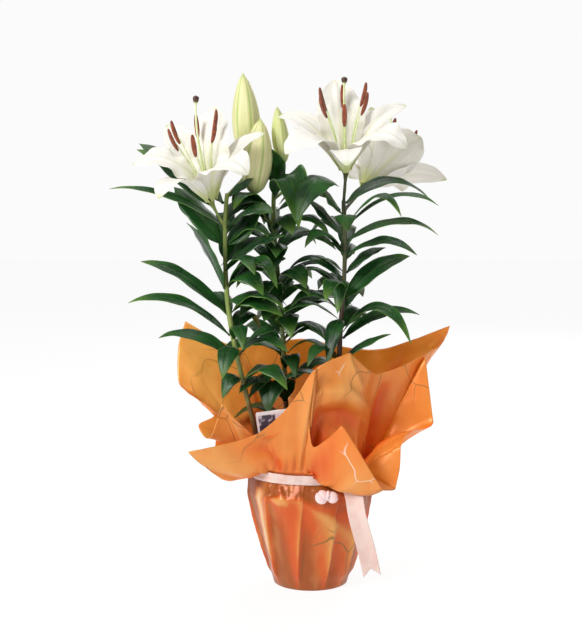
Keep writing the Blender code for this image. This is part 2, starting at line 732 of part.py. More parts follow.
def build_bud(shop, bud):
    """Three tepals closed over three: a long drop with six soft ribs, blunt at the foot."""
    foot = Vector(bud.foot) + Vector((0, 0, SOIL_LEVEL))
    tip = Vector(bud.tip) + Vector((0, 0, SOIL_LEVEL))
    aim = (tip - foot).normalized()
    length = (tip - foot).length
    bm = bmesh.new()
    bmesh.ops.create_uvsphere(bm, u_segments=12, v_segments=11, radius=1.0)
    for vert in bm.verts:
        along = math.acos(max(-1.0, min(1.0, -vert.co.z))) / math.pi
        turn = math.atan2(vert.co.y, vert.co.x)
        rib = 1 + BUD_RIB * math.cos(6 * turn)
        outline = 0.25 * math.sin(math.pi * along) ** 0.5 + 0.75 * lance(along, 0.42, 0.9)
        wide = 0.0 if at_pole(along) else bud.width / 2 * rib * outline
        vert.co = (wide * math.cos(turn), wide * math.sin(turn), along * length)
    turn = aim.to_track_quat("Z", "Y").to_matrix().to_4x4()
    bmesh.ops.transform(bm, verts=bm.verts, matrix=Matrix.Translation(foot) @ turn)
    shop.add_bmesh(bud.name, bm, "bud_cream")


def sheet_radius(layer, level):
    """The outer radius of a film layer round the pot and its tie, layer 0 inside and layer 1 outside."""
    off = FILM_THICKNESS + SHEET_PLAY + layer * (FILM_THICKNESS + SHEET_PLAY)
    shoulder = POT_FLOOR + POT_HEIGHT - POT_LIP_HEIGHT
    if level >= RIM_LEVEL + off:
        return POT_RIM_RADIUS + off - TIE_TUCK
    if level >= shoulder:
        return POT_RIM_RADIUS + off
    share = level / shoulder
    return POT_BASE_RADIUS + off + (POT_RIM_RADIUS - POT_BASE_RADIUS) * share


def rim_point(ray, layer):
    reach = sheet_radius(layer, FLARE_LEVEL) + ray.spread
    return heading(ray.azimuth) * reach + Vector((0, 0, FLARE_LEVEL + ray.rise))


def rim_at(rays, layer, degrees):
    """The sheet's edge, straight between its listed corners, and the arch there."""
    closed = [*rays, replace(rays[0], tie_angle=rays[0].tie_angle + 360)]
    if degrees < closed[0].tie_angle:
        degrees += 360
    for here, there in zip(closed, closed[1:]):
        if here.tie_angle <= degrees <= there.tie_angle:
            t = (degrees - here.tie_angle) / (there.tie_angle - here.tie_angle)
            edge = rim_point(here, layer).lerp(rim_point(there, layer), t)
            return edge, here.arch + (there.arch - here.arch) * t
    raise ValueError(f"no ray covers {degrees} degrees")


def build_wrap(shop, name, layer, rays):
    """A square of film laid under the pot, drawn up round it, tied, and flaring open above the tie."""
    foot = (1 - layer) * (FILM_THICKNESS + TOUCH_GAP)
    shoulder = POT_FLOOR + POT_HEIGHT - POT_LIP_HEIGHT
    tapered = [shoulder / 3, shoulder * 2 / 3, shoulder]
    levels = [*tapered, RIM_LEVEL - RIM_FOLD, RIM_LEVEL + 4 * RIM_FOLD, FLARE_LEVEL]
    bm = bmesh.new()
    column = bm.verts.layers.int.new("column")
    bmesh.ops.create_circle(bm, cap_ends=True, cap_tris=True, segments=COLUMNS, radius=POT_BASE_RADIUS / 2)
    bmesh.ops.translate(bm, verts=bm.verts, vec=(0, 0, foot))
    edges = [edge for edge in bm.edges if edge.is_boundary]
    for vert in bm.verts:
        vert[column] = round(math.degrees(math.atan2(vert.co.y, vert.co.x)) * COLUMNS / 360) % COLUMNS

    def grow(edges, place):
        """Draws a new ring of the sheet out of the last one, each column's point at its place."""
        made = bmesh.ops.extrude_edge_only(bm, edges=edges)["geom"]
        for vert in (item for item in made if isinstance(item, bmesh.types.BMVert)):
            vert.co = place(vert[column] * 360 / COLUMNS)
        return [item for item in made if isinstance(item, bmesh.types.BMEdge)]

    def upright(level, radius):
        return lambda degrees: heading(degrees) * radius + Vector((0, 0, level))

    def flared(share):
        def place(degrees):
            edge, arch = rim_at(rays, layer, degrees)
            start = upright(FLARE_LEVEL, sheet_radius(layer, FLARE_LEVEL))(degrees)
            return start.lerp(edge, share) + Vector((0, 0, 4 * arch * share * (1 - share)))

        return place

    edges = grow(edges, upright(foot, sheet_radius(layer, 0.0) - FILM_THICKNESS))
    for level in levels:
        edges = grow(edges, upright(level, sheet_radius(layer, level)))
    for share in FLARE_SHARES:
        edges = grow(edges, flared(share))
    bmesh.ops.recalc_face_normals(bm, faces=bm.faces)
    underside = min(bm.faces, key=lambda face: face.calc_center_median().xy.length)
    if underside.normal.z > 0:
        bmesh.ops.reverse_faces(bm, faces=bm.faces)
    sheet = shop.add_bmesh(name, bm, "film")
    shell = sheet.modifiers.new("film", "SOLIDIFY")
    shell.thickness = FILM_THICKNESS
    shell.offset = -1.0


def band_radius():
    """The ribbon band's inner radius, over both film layers at the tie."""
    return sheet_radius(1, FLARE_LEVEL) + TIE_TUCK + TOUCH_GAP


def build_band(shop):
    inner = band_radius()
    outer = inner + BAND_THICKNESS
    low = BAND_TOP - BAND_WIDTH
    profile = [(inner, BAND_TOP), (outer, BAND_TOP), (outer, low), (inner, low), (inner, BAND_TOP)]
    turned(shop, "ribbon_band", profile, "ribbon", COLUMNS)


def knot_place():
    """The knot's centre, against the front of the band, a little right of the middle."""
    reach = band_radius() + BAND_THICKNESS + TOUCH_GAP + KNOT_SIZE[1] / 2
    return heading(KNOT_HEADING) * reach + Vector((0, 0, TIE_LEVEL - KNOT_DROP))


def build_knot(shop):
    bm = bmesh.new()
    bmesh.ops.create_uvsphere(bm, u_segments=12, v_segments=8, radius=0.5)
    for vert in bm.verts:
        waist = 1 - KNOT_WAIST * math.exp(-((vert.co.x / KNOT_WAIST) ** 2))
        vert.co.y *= waist
        vert.co.z *= waist
    bmesh.ops.scale(bm, verts=bm.verts, vec=KNOT_SIZE)
    turn = Matrix.Rotation(math.radians(KNOT_HEADING - 270), 4, "Z")
    bmesh.ops.transform(bm, verts=bm.verts, matrix=Matrix.Translation(knot_place()) @ turn)
    shop.add_bmesh("ribbon_knot", bm, "ribbon")


def build_tail(shop):
    """One cut end of the ribbon, hanging from the knot down to the right, with a V notch."""
    start = knot_place() + Vector((KNOT_SIZE[0] / 2 + TOUCH_GAP, -0.002, -KNOT_SIZE[2] * 0.2))
    down = Vector(TAIL_DOWN).normalized()
    across = Vector(TAIL_ACROSS).normalized()
    bow = down.cross(across).normalized()
    bm = bmesh.new()
    bmesh.ops.create_grid(bm, x_segments=2, y_segments=12, size=0.5)
    for vert in bm.verts:
        side = vert.co.x
        along = 0.5 - vert.co.y
        spread = min(1.0, along * TAIL_SPREAD)
        notch = 0.0 if vert.co.y > -0.5 else TAIL_NOTCH * (1 - 2 * abs(side))
        width = RIBBON_WIDTH * (TAIL_PINCH + (1 - TAIL_PINCH) * spread)
        lead = RIBBON_WIDTH * spread / 5
        vert.co = (
            start + down * (along * TAIL_LENGTH - notch) + across * (side * width + lead)
            - bow * TAIL_SWAY * math.sin(math.pi * along)
        )
    bmesh.ops.recalc_face_normals(bm, faces=bm.faces)
    tail = shop.add_bmesh("ribbon_tail", bm, "ribbon")
    shell = tail.modifiers.new("ribbon", "SOLIDIFY")
    shell.thickness = RIBBON_THICKNESS
    shell.offset = 0.0


def main():
    clear_scene()
    shop = Workshop()
    build_pot(shop)
    build_soil(shop)
    card_block(shop, "label_card")
    for stem in STEM_COURSES:
        build_bulb(shop, stem)
        build_stem(shop, stem)
    for leaf in LEAVES:
        build_leaf(shop, leaf)
    for flower in FLOWERS:
        for index, tepal in enumerate(flower.tepals):
            build_tepal(shop, flower, index, tepal)
        build_stamens(shop, flower)
        build_pistil(shop, flower)
    for bud in BUDS:
        build_bud(shop, bud)
    build_wrap(shop, "wrap_inner", 0, INNER_RAYS)
    build_wrap(shop, "wrap_outer", 1, OUTER_RAYS)
    build_band(shop)
    build_knot(shop)
    build_tail(shop)


main()
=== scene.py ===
"""The looks of a potted lily wrapped in orange film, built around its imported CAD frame. Metres, +Z up."""

import logging
import math
import random
from collections.abc import Callable, Sequence
from dataclasses import dataclass, field
from enum import Enum

import bmesh
import bpy
from mathutils import Matrix, Vector, noise
from mathutils.bvhtree import BVHTree


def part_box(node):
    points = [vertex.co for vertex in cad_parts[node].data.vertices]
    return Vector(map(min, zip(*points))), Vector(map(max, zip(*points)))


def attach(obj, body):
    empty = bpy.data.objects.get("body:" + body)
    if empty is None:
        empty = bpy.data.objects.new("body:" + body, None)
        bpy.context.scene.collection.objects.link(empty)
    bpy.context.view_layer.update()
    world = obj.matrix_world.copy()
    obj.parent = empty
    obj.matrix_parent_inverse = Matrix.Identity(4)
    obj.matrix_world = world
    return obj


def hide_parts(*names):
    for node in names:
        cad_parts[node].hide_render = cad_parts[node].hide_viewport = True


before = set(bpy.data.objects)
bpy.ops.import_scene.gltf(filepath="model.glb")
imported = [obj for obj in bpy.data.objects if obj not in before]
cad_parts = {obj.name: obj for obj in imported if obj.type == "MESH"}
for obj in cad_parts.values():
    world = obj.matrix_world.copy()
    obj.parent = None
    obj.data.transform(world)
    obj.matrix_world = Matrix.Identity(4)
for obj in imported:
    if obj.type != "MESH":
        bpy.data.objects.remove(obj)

log = logging.getLogger("potted_lily")

MERGE = 1e-5
FILM_GAP = 0.0003
WELD = 1e-6
Triple = tuple[float, float, float]
Colour = Triple
Point = Vector | float
Mesh = bmesh.types.BMesh
Material = bpy.types.Material
Piece = bpy.types.Object
Socket = bpy.types.NodeSocket
Value = Socket | float


class Slot(Enum):
    """The record's material slots."""

    POT = "pot_plastic"
    SOIL = "potting_soil"
    BULB = "bulb_scales"
    CARD = "card"
    FILM = "film"
    RIBBON = "ribbon"
    STEM = "stem_green"
    LEAF = "leaf_green"
    PETAL = "petal_white"
    BUD = "bud_cream"
    PISTIL = "pistil_green"
    ANTHER = "anther_rust"


class Whorl(Enum):
    """The two rings of three tepals in a lily flower."""

    OUTER = "outer"
    INNER = "inner"


# ---------------- small geometry


def heading(degrees: float) -> Vector:
    """Returns the level unit vector at this angle from +X towards +Y."""
    turn = math.radians(degrees)
    return Vector((math.cos(turn), math.sin(turn), 0.0))


def clamp(value: float, low: float = 0.0, high: float = 1.0) -> float:
    """Returns the value held between low and high."""
    return max(low, min(high, value))


def ease(value: float, start: float, end: float) -> float:
    """Returns 0 before start, 1 after end and a smooth rise between them."""
    t = clamp((value - start) / (end - start))
    return t * t * (3 - 2 * t)


def hermite(before: Point, start: Point, end: Point, after: Point, t: float) -> Point:
    """Returns the point at t on the smooth curve from start to end, given both neighbours.

    Args:
        before: The value before the start.
        start: The value at 0.
        end: The value at 1.
        after: The value after the end.
        t: The share of the way from start to end.

    Returns:
        The value there.
    """
    return 0.5 * (
        2 * start
        + (end - before) * t
        + (2 * before - 5 * start + 4 * end - after) * t**2
        + (3 * start - before - 3 * end + after) * t**3
    )


def along_points(points: Sequence[Point], t: float) -> Point:
    """Returns the value at t, 0 to 1, on a smooth curve through evenly spaced points or numbers.

    Args:
        points: The points or numbers.
        t: The share of the way along them.

    Returns:
        The point or number there.
    """
    whole = clamp(t) * (len(points) - 1)
    i = min(int(whole), len(points) - 2)
    start, end = points[i], points[i + 1]
    before = points[i - 1] if i else start + (start - end)
    after = points[i + 2] if i + 2 < len(points) else end + (end - start)
    return hermite(before, start, end, after, whole - i)


def lance(along: float, widest: float, tip_power: float = 1.0) -> float:
    """Returns a lance-shaped outline: 0 at both ends and 1 where the blade is widest.

    Args:
        along: The share of the length.
        widest: The share where the blade is widest.
        tip_power: How fast it tapers to the tip.

    Returns:
        The share of the full width there.
    """
    foot_power = tip_power * widest / (1 - widest)
    peak = widest**foot_power * (1 - widest) ** tip_power
    return max(0.0, along) ** foot_power * max(0.0, 1 - along) ** tip_power / peak


def merged_copy(node: str) -> Mesh:
    """Returns a CAD node's mesh with its loose triangles joined, as a bmesh of its own.

    Args:
        node: The node's name.

    Returns:
        The copy, which the caller frees.
    """
    bm = bmesh.new()
    bm.from_mesh(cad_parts[node].data)
    bmesh.ops.remove_doubles(bm, verts=bm.verts, dist=MERGE)
    bm.verts.ensure_lookup_table()
    bm.verts.index_update()
    return bm


def rings_from(links: dict[int, list[int]], start: int) -> list[list[int]]:
    """Returns the points of a mesh ring by ring, counted from one of them.

    Args:
        links: The neighbours of each point.
        start: The point to count from.

    Returns:
        The points in rings, each one edge further away.
    """
    rings = [[start]]
    seen = {start}
    while rings[-1]:
        ring = []
        for point in rings[-1]:
            for other in links[point]:
                if other not in seen:
                    seen.add(other)
                    ring.append(other)
        rings.append(ring)
    return rings[:-1]


def read_ends(node: str) -> tuple[list[Vector], dict[int, list[int]], list[int]]:
    """Reads a long CAD piece's two ends, the points that are the most edges away from another.

    Args:
        node: The node's name.

    Returns:
        Its points, the neighbours of each, and the numbers of the end points.
    """
    bm = merged_copy(node)
    places = [vert.co.copy() for vert in bm.verts]
    links = {vert.index: [edge.other_vert(vert).index for edge in vert.link_edges] for vert in bm.verts}
    bm.free()
    spans = {point: len(rings_from(links, point)) for point in links}
    return places, links, [point for point, span in spans.items() if span == max(spans.values())]


def patch(across: int, along: int, place: Callable[[float, float], Vector]) -> Mesh:
    """Shapes a grid into a surface.

    Args:
        across: Steps across the grid.
        along: Steps along it.
        place: Gives the point for each pair of shares, across and along.

    Returns:
        The surface, with its shares as a UVMap layer.
    """
    bm = bmesh.new()
    bm.loops.layers.uv.new("UVMap")
    bmesh.ops.create_grid(bm, x_segments=across, y_segments=along, size=0.5, calc_uvs=True)
    for vert in bm.verts:
        vert.co = place(vert.co.x + 0.5, vert.co.y + 0.5)
    return bm


def rod(points: Sequence[Vector], radii: Sequence[float], sides: int, steps: int) -> Mesh:
    """Sweeps a round section along a smooth line, with both ends closed to a point.

    Args:
        points: The line's points.
        radii: The radius at each of them.
        sides: Sides of the section.
        steps: Steps along the line.

    Returns:
        The closed surface, with UVs round and along it.
    """
    reference = Vector((0.31, 0.17, 0.93)).normalized()

    def place(u: float, v: float) -> Vector:
        """Returns a point of the rod.

        Args:
            u: The share across or round it.
            v: The share along it.

        Returns:
            The point.
        """
        end = 1.5 / steps
        centre = along_points(points, v)
        forward = (along_points(points, v + 0.01) - along_points(points, v - 0.01)).normalized()
        side = forward.cross(reference).normalized()
        radius = along_points(radii, v) * math.sqrt(clamp(min(v, 1 - v) / end))
        turn = 2 * math.pi * u
        return centre + (side * math.cos(turn) + side.cross(forward) * math.sin(turn)) * radius

    bm = patch(sides, steps, place)
    bmesh.ops.remove_doubles(bm, verts=bm.verts, dist=WELD)
    bmesh.ops.recalc_face_normals(bm, faces=bm.faces)
    return bm


def pour(source: Mesh, into: Mesh) -> None:
    """Moves everything in one bmesh into another.

    Args:
        source: The bmesh to empty. It is freed.
        into: The bmesh that takes it in.
    """
    mesh = bpy.data.meshes.new("pour")
    source.to_mesh(mesh)
    source.free()
    into.from_mesh(mesh)
    bpy.data.meshes.remove(mesh)


def finish_piece(
    name: str, bm: Mesh, material: Material, slot: Slot, replaces: Sequence[str] = ()
) -> Piece:
    """Makes an object of a finished bmesh and ties it to the frame.

    Args:
        name: The piece's name.
        bm: Its mesh, in the frame's own coordinates. It is freed.
        material: Its finish.
        slot: The record's slot for that finish. Not used.
        replaces: The CAD nodes that it stands for.

    Returns:
        The new object.
    """
    mesh = bpy.data.meshes.new(name)
    bm.to_mesh(mesh)
    bm.free()
    for polygon in mesh.polygons:
        polygon.use_smooth = True
    mesh.materials.append(material)
    piece = bpy.data.objects.new(name, mesh)
    bpy.context.scene.collection.objects.link(piece)
    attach(piece, "root")
    if replaces:
        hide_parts(*replaces)
    log.info("%s: %d faces", name, len(mesh.polygons))
    return piece


def thicken(piece: Piece, thickness: float, offset: float = 0.0) -> None:
    """Gives an open surface a real thickness.

    Args:
        piece: The piece.
        thickness: The thickness, in metres.
        offset: Where it lies, from -1 inwards to 1 outwards.
    """
    shell = piece.modifiers.new("thickness", "SOLIDIFY")
    shell.thickness = thickness
    shell.offset = offset


def soften(piece: Piece, levels: int) -> None:
    """Rounds a piece by subdivision.

    Args:
        piece: The piece.
        levels: How many times each face is split.
    """
    rounding = piece.modifiers.new("rounding", "SUBSURF")
    rounding.levels = levels
    rounding.render_levels = levels


# ---------------- finishes


class Graph:
    """A material's node tree, with one short call for each node that the finishes use."""

    def __init__(self, name: str, roughness: float) -> None:
        """Starts a material with this name and roughness.

        Args:
            name: The material's name.
            roughness: Its roughness.
        """
        self.material = bpy.data.materials.new(name)
        self.material.use_nodes = True
        self.tree = self.material.node_tree
        self.shader = self.tree.nodes["Principled BSDF"]
        self.set("Roughness", roughness)

    def set(self, name: str, value: float | Sequence[float]) -> None:
        """Sets one of the shader's own values."""
        self.shader.inputs[name].default_value = value

    def feed(self, name: str, socket: Socket) -> None:
        """Links a socket to one of the shader's inputs."""
        self.tree.links.new(socket, self.shader.inputs[name])

    def node(self, kind: str, inputs: dict, **settings) -> bpy.types.Node:
        """Adds a node.

        Args:
            kind: The node's type.
            inputs: Each input's name or number, with a socket to link or a value to set.
            **settings: The node's own properties.

        Returns:
            The node.
        """
        made = self.tree.nodes.new(kind)
        for name, value in settings.items():
            setattr(made, name, value)
        for name, value in inputs.items():
            if isinstance(value, Socket):
                self.tree.links.new(value, made.inputs[name])
            else:
                made.inputs[name].default_value = value
        return made

    def place(self) -> Socket:
        """Returns the object's own coordinates, in metres."""
        return self.node("ShaderNodeTexCoord", {}).outputs["Object"]

    def chart(self) -> Socket:
        """Returns the piece's pattern coordinates."""
        return self.node("ShaderNodeUVMap", {}, uv_map="UVMap").outputs["UV"]

    def split(self, vector: Socket) -> list[Socket]:
        """Returns a vector's three numbers."""
        return list(self.node("ShaderNodeSeparateXYZ", {0: vector}).outputs)

    def stretch(self, vector: Socket, scale: Triple) -> Socket:
        """Returns the coordinates scaled along each axis."""
        return self.node("ShaderNodeMapping", {"Vector": vector, "Scale": scale}).outputs[0]

    def math(self, operation: str, *values: Value) -> Socket:
        """Returns a sum of numbers and sockets by one Math node."""
        return self.node("ShaderNodeMath", dict(enumerate(values)), operation=operation).outputs[0]

    def noise(self, vector: Socket, scale: float, detail: float = 3.0, roughness: float = 0.5) -> Socket:
        """Returns smooth noise from 0 to 1."""
        inputs = {"Vector": vector, "Scale": scale, "Detail": detail, "Roughness": roughness}
        return self.node("ShaderNodeTexNoise", inputs).outputs[0]

    def warp(self, vector: Socket, scale: float, amount: float) -> Socket:
        """Returns coordinates that wander by this amount.

        Args:
            vector: The coordinates.
            scale: How tight the wandering is.
            amount: How far it goes, in metres.

        Returns:
            The moved coordinates.
        """
        inputs = {"Vector": vector, "Scale": scale, "Detail": 2.0}
        wander = self.node("ShaderNodeTexNoise", inputs).outputs[1]
        kind = "ShaderNodeVectorMath"
        centred = self.node(kind, {0: wander, 1: (0.5, 0.5, 0.5)}, operation="SUBTRACT").outputs[0]
        scaled = self.node(kind, {0: centred, "Scale": amount}, operation="SCALE").outputs[0]
        return self.node(kind, {0: vector, 1: scaled}, operation="ADD").outputs[0]

    def cracks(self, vector: Socket, scale: float) -> Socket:
        """Returns the distance to the nearest line of a branching network."""
        inputs = {"Vector": vector, "Scale": scale}
        return self.node("ShaderNodeTexVoronoi", inputs, feature="DISTANCE_TO_EDGE").outputs["Distance"]

    def range(self, value: Value, low: float, high: float, start: float = 0.0, end: float = 1.0) -> Socket:
        """Returns the value spread from low..high to start..end, smoothly and held at both."""
        inputs = {0: value, 1: low, 2: high, 3: start, 4: end}
        return self.node("ShaderNodeMapRange", inputs, interpolation_type="SMOOTHSTEP").outputs[0]

    def blend(self, share: Value, first: Socket | Colour, second: Socket | Colour) -> Socket:
        """Returns a mix of two colours, given as colours or sockets.

        Args:
            share: The second colour's share.
            first: The first colour.
            second: The second colour.

        Returns:
            The mixed colour.
        """
        made = self.node("ShaderNodeMix", {0: share}, data_type="RGBA", blend_type="MIX")
        for slot, colour in ((6, first), (7, second)):
            if isinstance(colour, Socket):
                self.tree.links.new(colour, made.inputs[slot])
            else:
                made.inputs[slot].default_value = (*colour, 1.0)
        return made.outputs[2]

    def tint(self, body: Socket, colour: Colour, value: Socket, *spread: float) -> Socket:
        """Returns the body turned to a colour where a value is high, spread as in range."""
        return self.blend(self.range(value, *spread), body, colour)

    def bump(self, height: Socket, distance: float, strength: float) -> None:
        """Raises the surface by a height map, distance metres high."""
        inputs = {"Height": height, "Distance": distance, "Strength": strength}
        self.feed("Normal", self.node("ShaderNodeBump", inputs).outputs[0])

    def scatter(self, weight: float, radius: Colour, scale: float) -> None:
        """Lets light through thin flesh.

        Args:
            weight: How much light it lets through.
            radius: How far red, green and blue go, as shares.
            scale: The longest way, in metres.
        """
        self.set("Subsurface Weight", weight)
        self.set("Subsurface Radius", radius)
        self.set("Subsurface Scale", scale)


@dataclass(frozen=True)
class LeafFinish:
    """A glossy lily leaf: dark, with parallel veins and a pale midrib; its margins and tip are lightened as
    painted light.
    """

    dark: Colour = (0.006, 0.03, 0.009)
    fresh: Colour = (0.02, 0.098, 0.014)
    bright: Colour = (0.19, 0.34, 0.04)
    roughness: float = 0.3

    def material(self, name: str, freshness: float) -> Material:
        """Makes the material.

        Args:
            name: Its name.
            freshness: From 0, an old dark leaf, to 1, a young bright one.

        Returns:
            The material.
        """
        graph = Graph(name, self.roughness)
        across, along, _ = graph.split(graph.chart())
        from_rib = graph.math("ABSOLUTE", graph.math("SUBTRACT", across, 0.5))
        mottle = graph.noise(graph.place(), 38.0, 3.0)
        body = graph.blend(graph.range(mottle, 0.35, 0.75), self.dark, self.fresh)
        body = graph.blend(freshness * 0.4, body, self.fresh)
        veins = graph.noise(graph.stretch(graph.chart(), (34.0, 1.2, 1.0)), 1.0, 1.0)
        body = graph.tint(body, self.fresh, veins, 0.45, 0.75, 0.0, 0.38)
        rib = graph.range(from_rib, 0.0, 0.026, 0.18, 0.0)
        body = graph.blend(rib, body, self.bright)
        # Painted highlight: the margins lightened towards bright green, more on fresher finishes.
        margin = graph.range(from_rib, 0.44, 0.5, 0.0, 0.1 + 0.5 * freshness)
        body = graph.blend(margin, body, self.bright)
        # Painted light: the tip lightened towards bright green, as if lit through.
        tip = graph.range(along, 0.72, 1.0, 0.0, 0.12 + 0.45 * freshness)
        body = graph.blend(tip, body, self.bright)
        graph.feed("Base Color", body)
        graph.feed("Roughness", graph.range(mottle, 0.3, 0.7, self.roughness - 0.06, self.roughness + 0.12))
        relief = graph.math("ADD", graph.math("MULTIPLY", veins, 0.7), graph.math("MULTIPLY", mottle, 0.4))
        graph.bump(relief, 0.0005, 0.7)
        graph.set("Specular IOR Level", 0.42)
        graph.scatter(0.22, (0.4, 1.0, 0.15), 0.002)
        return graph.material


@dataclass(frozen=True)
class PetalFinish:
    """A white lily tepal: green-yellow along the rib and in the throat, with fine lengthwise furrows."""

    white: Colour = (0.91, 0.87, 0.785)
    shade: Colour = (0.74, 0.715, 0.625)
    throat: Colour = (0.6, 0.66, 0.17)
    tip: Colour = (0.58, 0.66, 0.3)
    roughness: float = 0.46

    def material(self, name: str, green_tip: float) -> Material:
        """Makes the material.

        Args:
            name: Its name.
            green_tip: How green the tip is.

        Returns:
            The material.
        """
        graph = Graph(name, self.roughness)
        across, along, _ = graph.split(graph.chart())
        from_rib = graph.math("ABSOLUTE", graph.math("SUBTRACT", across, 0.5))
        furrows = graph.noise(graph.stretch(graph.chart(), (46.0, 2.2, 1.0)), 1.0, 2.0)
        cloud = graph.noise(graph.place(), 55.0, 3.0)
        body = graph.blend(graph.range(furrows, 0.35, 0.7, 0.0, 0.55), self.white, self.shade)
        body = graph.tint(body, self.shade, cloud, 0.5, 0.8, 0.0, 0.4)
        rib = graph.math(
            "MULTIPLY", graph.range(from_rib, 0.0, 0.11, 0.42, 0.0), graph.range(along, 0.2, 0.75, 1.0, 0.1)
        )
        body = graph.blend(rib, body, self.throat)
        body = graph.tint(body, self.throat, along, 0.02, 0.3, 0.85, 0.0)
        body = graph.tint(body, self.tip, along, 0.9, 1.0, 0.0, green_tip)
        graph.feed("Base Color", body)
        papillae = graph.node(
            "ShaderNodeTexVoronoi", {"Vector": graph.place(), "Scale": 620.0}, feature="SMOOTH_F1"
        ).outputs["Distance"]
        near_throat = graph.range(along, 0.12, 0.5, 0.5, 0.0)
        relief = graph.math("ADD", furrows, graph.math("MULTIPLY", papillae, near_throat))
        graph.bump(relief, 0.0006, 0.7)
        graph.set("Sheen Weight", 0.12)
        graph.scatter(0.3, (1.0, 0.9, 0.7), 0.003)
        return graph.material


@dataclass(frozen=True)
class BudFinish:
    """A closed bud: cream, with green seams where the tepals meet and a greener foot."""

    cream: Colour = (0.84, 0.79, 0.44)
    green: Colour = (0.42, 0.55, 0.14)
    roughness: float = 0.42

    def material(self, name: str, greenness: float) -> Material:
        """Makes the material.

        Args:
            name: Its name.
            greenness: From 0, nearly open and cream, to 1, small and green.

        Returns:
            The material.
        """
        graph = Graph(name, self.roughness)
        round_it, along, _ = graph.split(graph.chart())
        turn = graph.math("MULTIPLY", round_it, 6 * math.pi)
        seam = graph.range(graph.math("ABSOLUTE", graph.math("SINE", turn)), 0.0, 0.42, 0.85, 0.0)
        furrows = graph.noise(graph.stretch(graph.chart(), (60.0, 2.0, 1.0)), 1.0, 2.0)
        body = graph.blend(greenness, self.cream, self.green)
        body = graph.tint(body, self.green, furrows, 0.4, 0.75, 0.0, 0.35)
        body = graph.blend(seam, body, self.green)
        body = graph.tint(body, self.green, along, 0.0, 0.3, 0.7, 0.0)
        body = graph.tint(body, self.green, along, 0.9, 1.0, 0.0, 0.5)
        graph.feed("Base Color", body)
        graph.bump(furrows, 0.0007, 0.7)
        graph.scatter(0.25, (1.0, 0.9, 0.5), 0.003)
        return graph.material


@dataclass(frozen=True)
class FilmFinish:
    """Pearly orange wrapping film with thin, branching gold lines printed on it.

    Each sheet carries a UV layer of painted light: painted shade where the film lies low, painted highlight
    where it stands proud. Up to 1 they turn the film deep orange or pale, and from 1 to 2 brown or cream. The
    pale glint lines are painted highlight too.
    """

    orange: Colour = (0.85, 0.195, 0.03)
    pale: Colour = (0.94, 0.38, 0.11)
    cream: Colour = (0.97, 0.7, 0.45)
    deep: Colour = (0.72, 0.055, 0.004)
    brown: Colour = (0.34, 0.08, 0.014)
    line: Colour = (0.28, 0.13, 0.035)
    glint: Colour = (0.95, 0.8, 0.66)
    glint_centre: Triple = (0.05, -0.115, 0.157)
    roughness: float = 0.34

    def material(self, name: str) -> Material:
        """Makes the material.

        Args:
            name: Its name.

        Returns:
            The material.
        """
        graph = Graph(name, self.roughness)
        plan = graph.place()
        cloud = graph.noise(plan, 9.0, 2.0)
        body = graph.blend(graph.range(cloud, 0.3, 0.7, 0.1, 0.3), self.orange, self.pale)
        streaks = graph.noise(plan, 22.0, 3.0)
        body = graph.tint(body, self.deep, streaks, 0.5, 0.8, 0.0, 0.1)
        # Painted light from each sheet's UV layer: painted shade turns the film deep orange, then brown;
        # painted highlight turns it pale, then cream.
        painted_light = graph.node("ShaderNodeUVMap", {}, uv_map="Hollow").outputs["UV"]
        painted_shade, lit, _ = graph.split(painted_light)
        body = graph.tint(body, self.deep, painted_shade, 0.0, 1.0, 0.0, 0.74)
        body = graph.tint(body, self.brown, painted_shade, 1.0, 2.0, 0.0, 0.85)
        body = graph.tint(body, self.pale, lit, 0.0, 1.0, 0.0, 0.75)
        body = graph.tint(body, self.cream, lit, 1.0, 2.0, 0.0, 0.9)
        gleam = graph.noise(graph.stretch(plan, (1.0, 1.0, 0.3)), 42.0, 2.0)
        body = graph.tint(body, self.pale, gleam, 0.48, 0.7, 0.0, 0.22)
        body = graph.tint(body, self.deep, gleam, 0.26, 0.46, 0.2, 0.0)
        wander = graph.warp(plan, 16.0, 0.035)
        line = graph.range(graph.cracks(wander, 15.0), 0.0, 0.014, 1.0, 0.0)
        present = graph.range(graph.noise(plan, 9.0, 1.0), 0.45, 0.53)
        line = graph.math("MULTIPLY", line, present)
        body = graph.blend(graph.math("MULTIPLY", line, 0.85), body, self.line)
        # Painted highlight: pale glinting lines round glint_centre and in rare patches elsewhere.
        glint = graph.cracks(graph.warp(plan, 22.0, 0.03), 19.0)
        away = graph.node("ShaderNodeVectorMath", {0: plan, 1: self.glint_centre}, operation="DISTANCE")
        near = graph.range(away.outputs["Value"], 0.026, 0.034, 1.0, 0.0)
        rare = graph.range(graph.noise(plan, 13.0, 1.0), 0.68, 0.71)
        shown = graph.math("MAXIMUM", near, rare)
        glint_lines = graph.math("MULTIPLY", graph.range(glint, 0.0, 0.018, 0.7, 0.0), shown)
        body = graph.blend(glint_lines, body, self.glint)
        graph.feed("Base Color", body)
        graph.feed("Roughness", graph.range(streaks, 0.3, 0.7, self.roughness - 0.05, self.roughness + 0.08))
        graph.set("Metallic", 0.12)
        crinkle = graph.noise(graph.warp(plan, 30.0, 0.02), 70.0, 4.0, 0.55)
        graph.bump(crinkle, 0.0012, 0.35)
        graph.set("Specular IOR Level", 0.32)
        graph.scatter(0.35, (1.0, 0.35, 0.08), 0.004)
        return graph.material


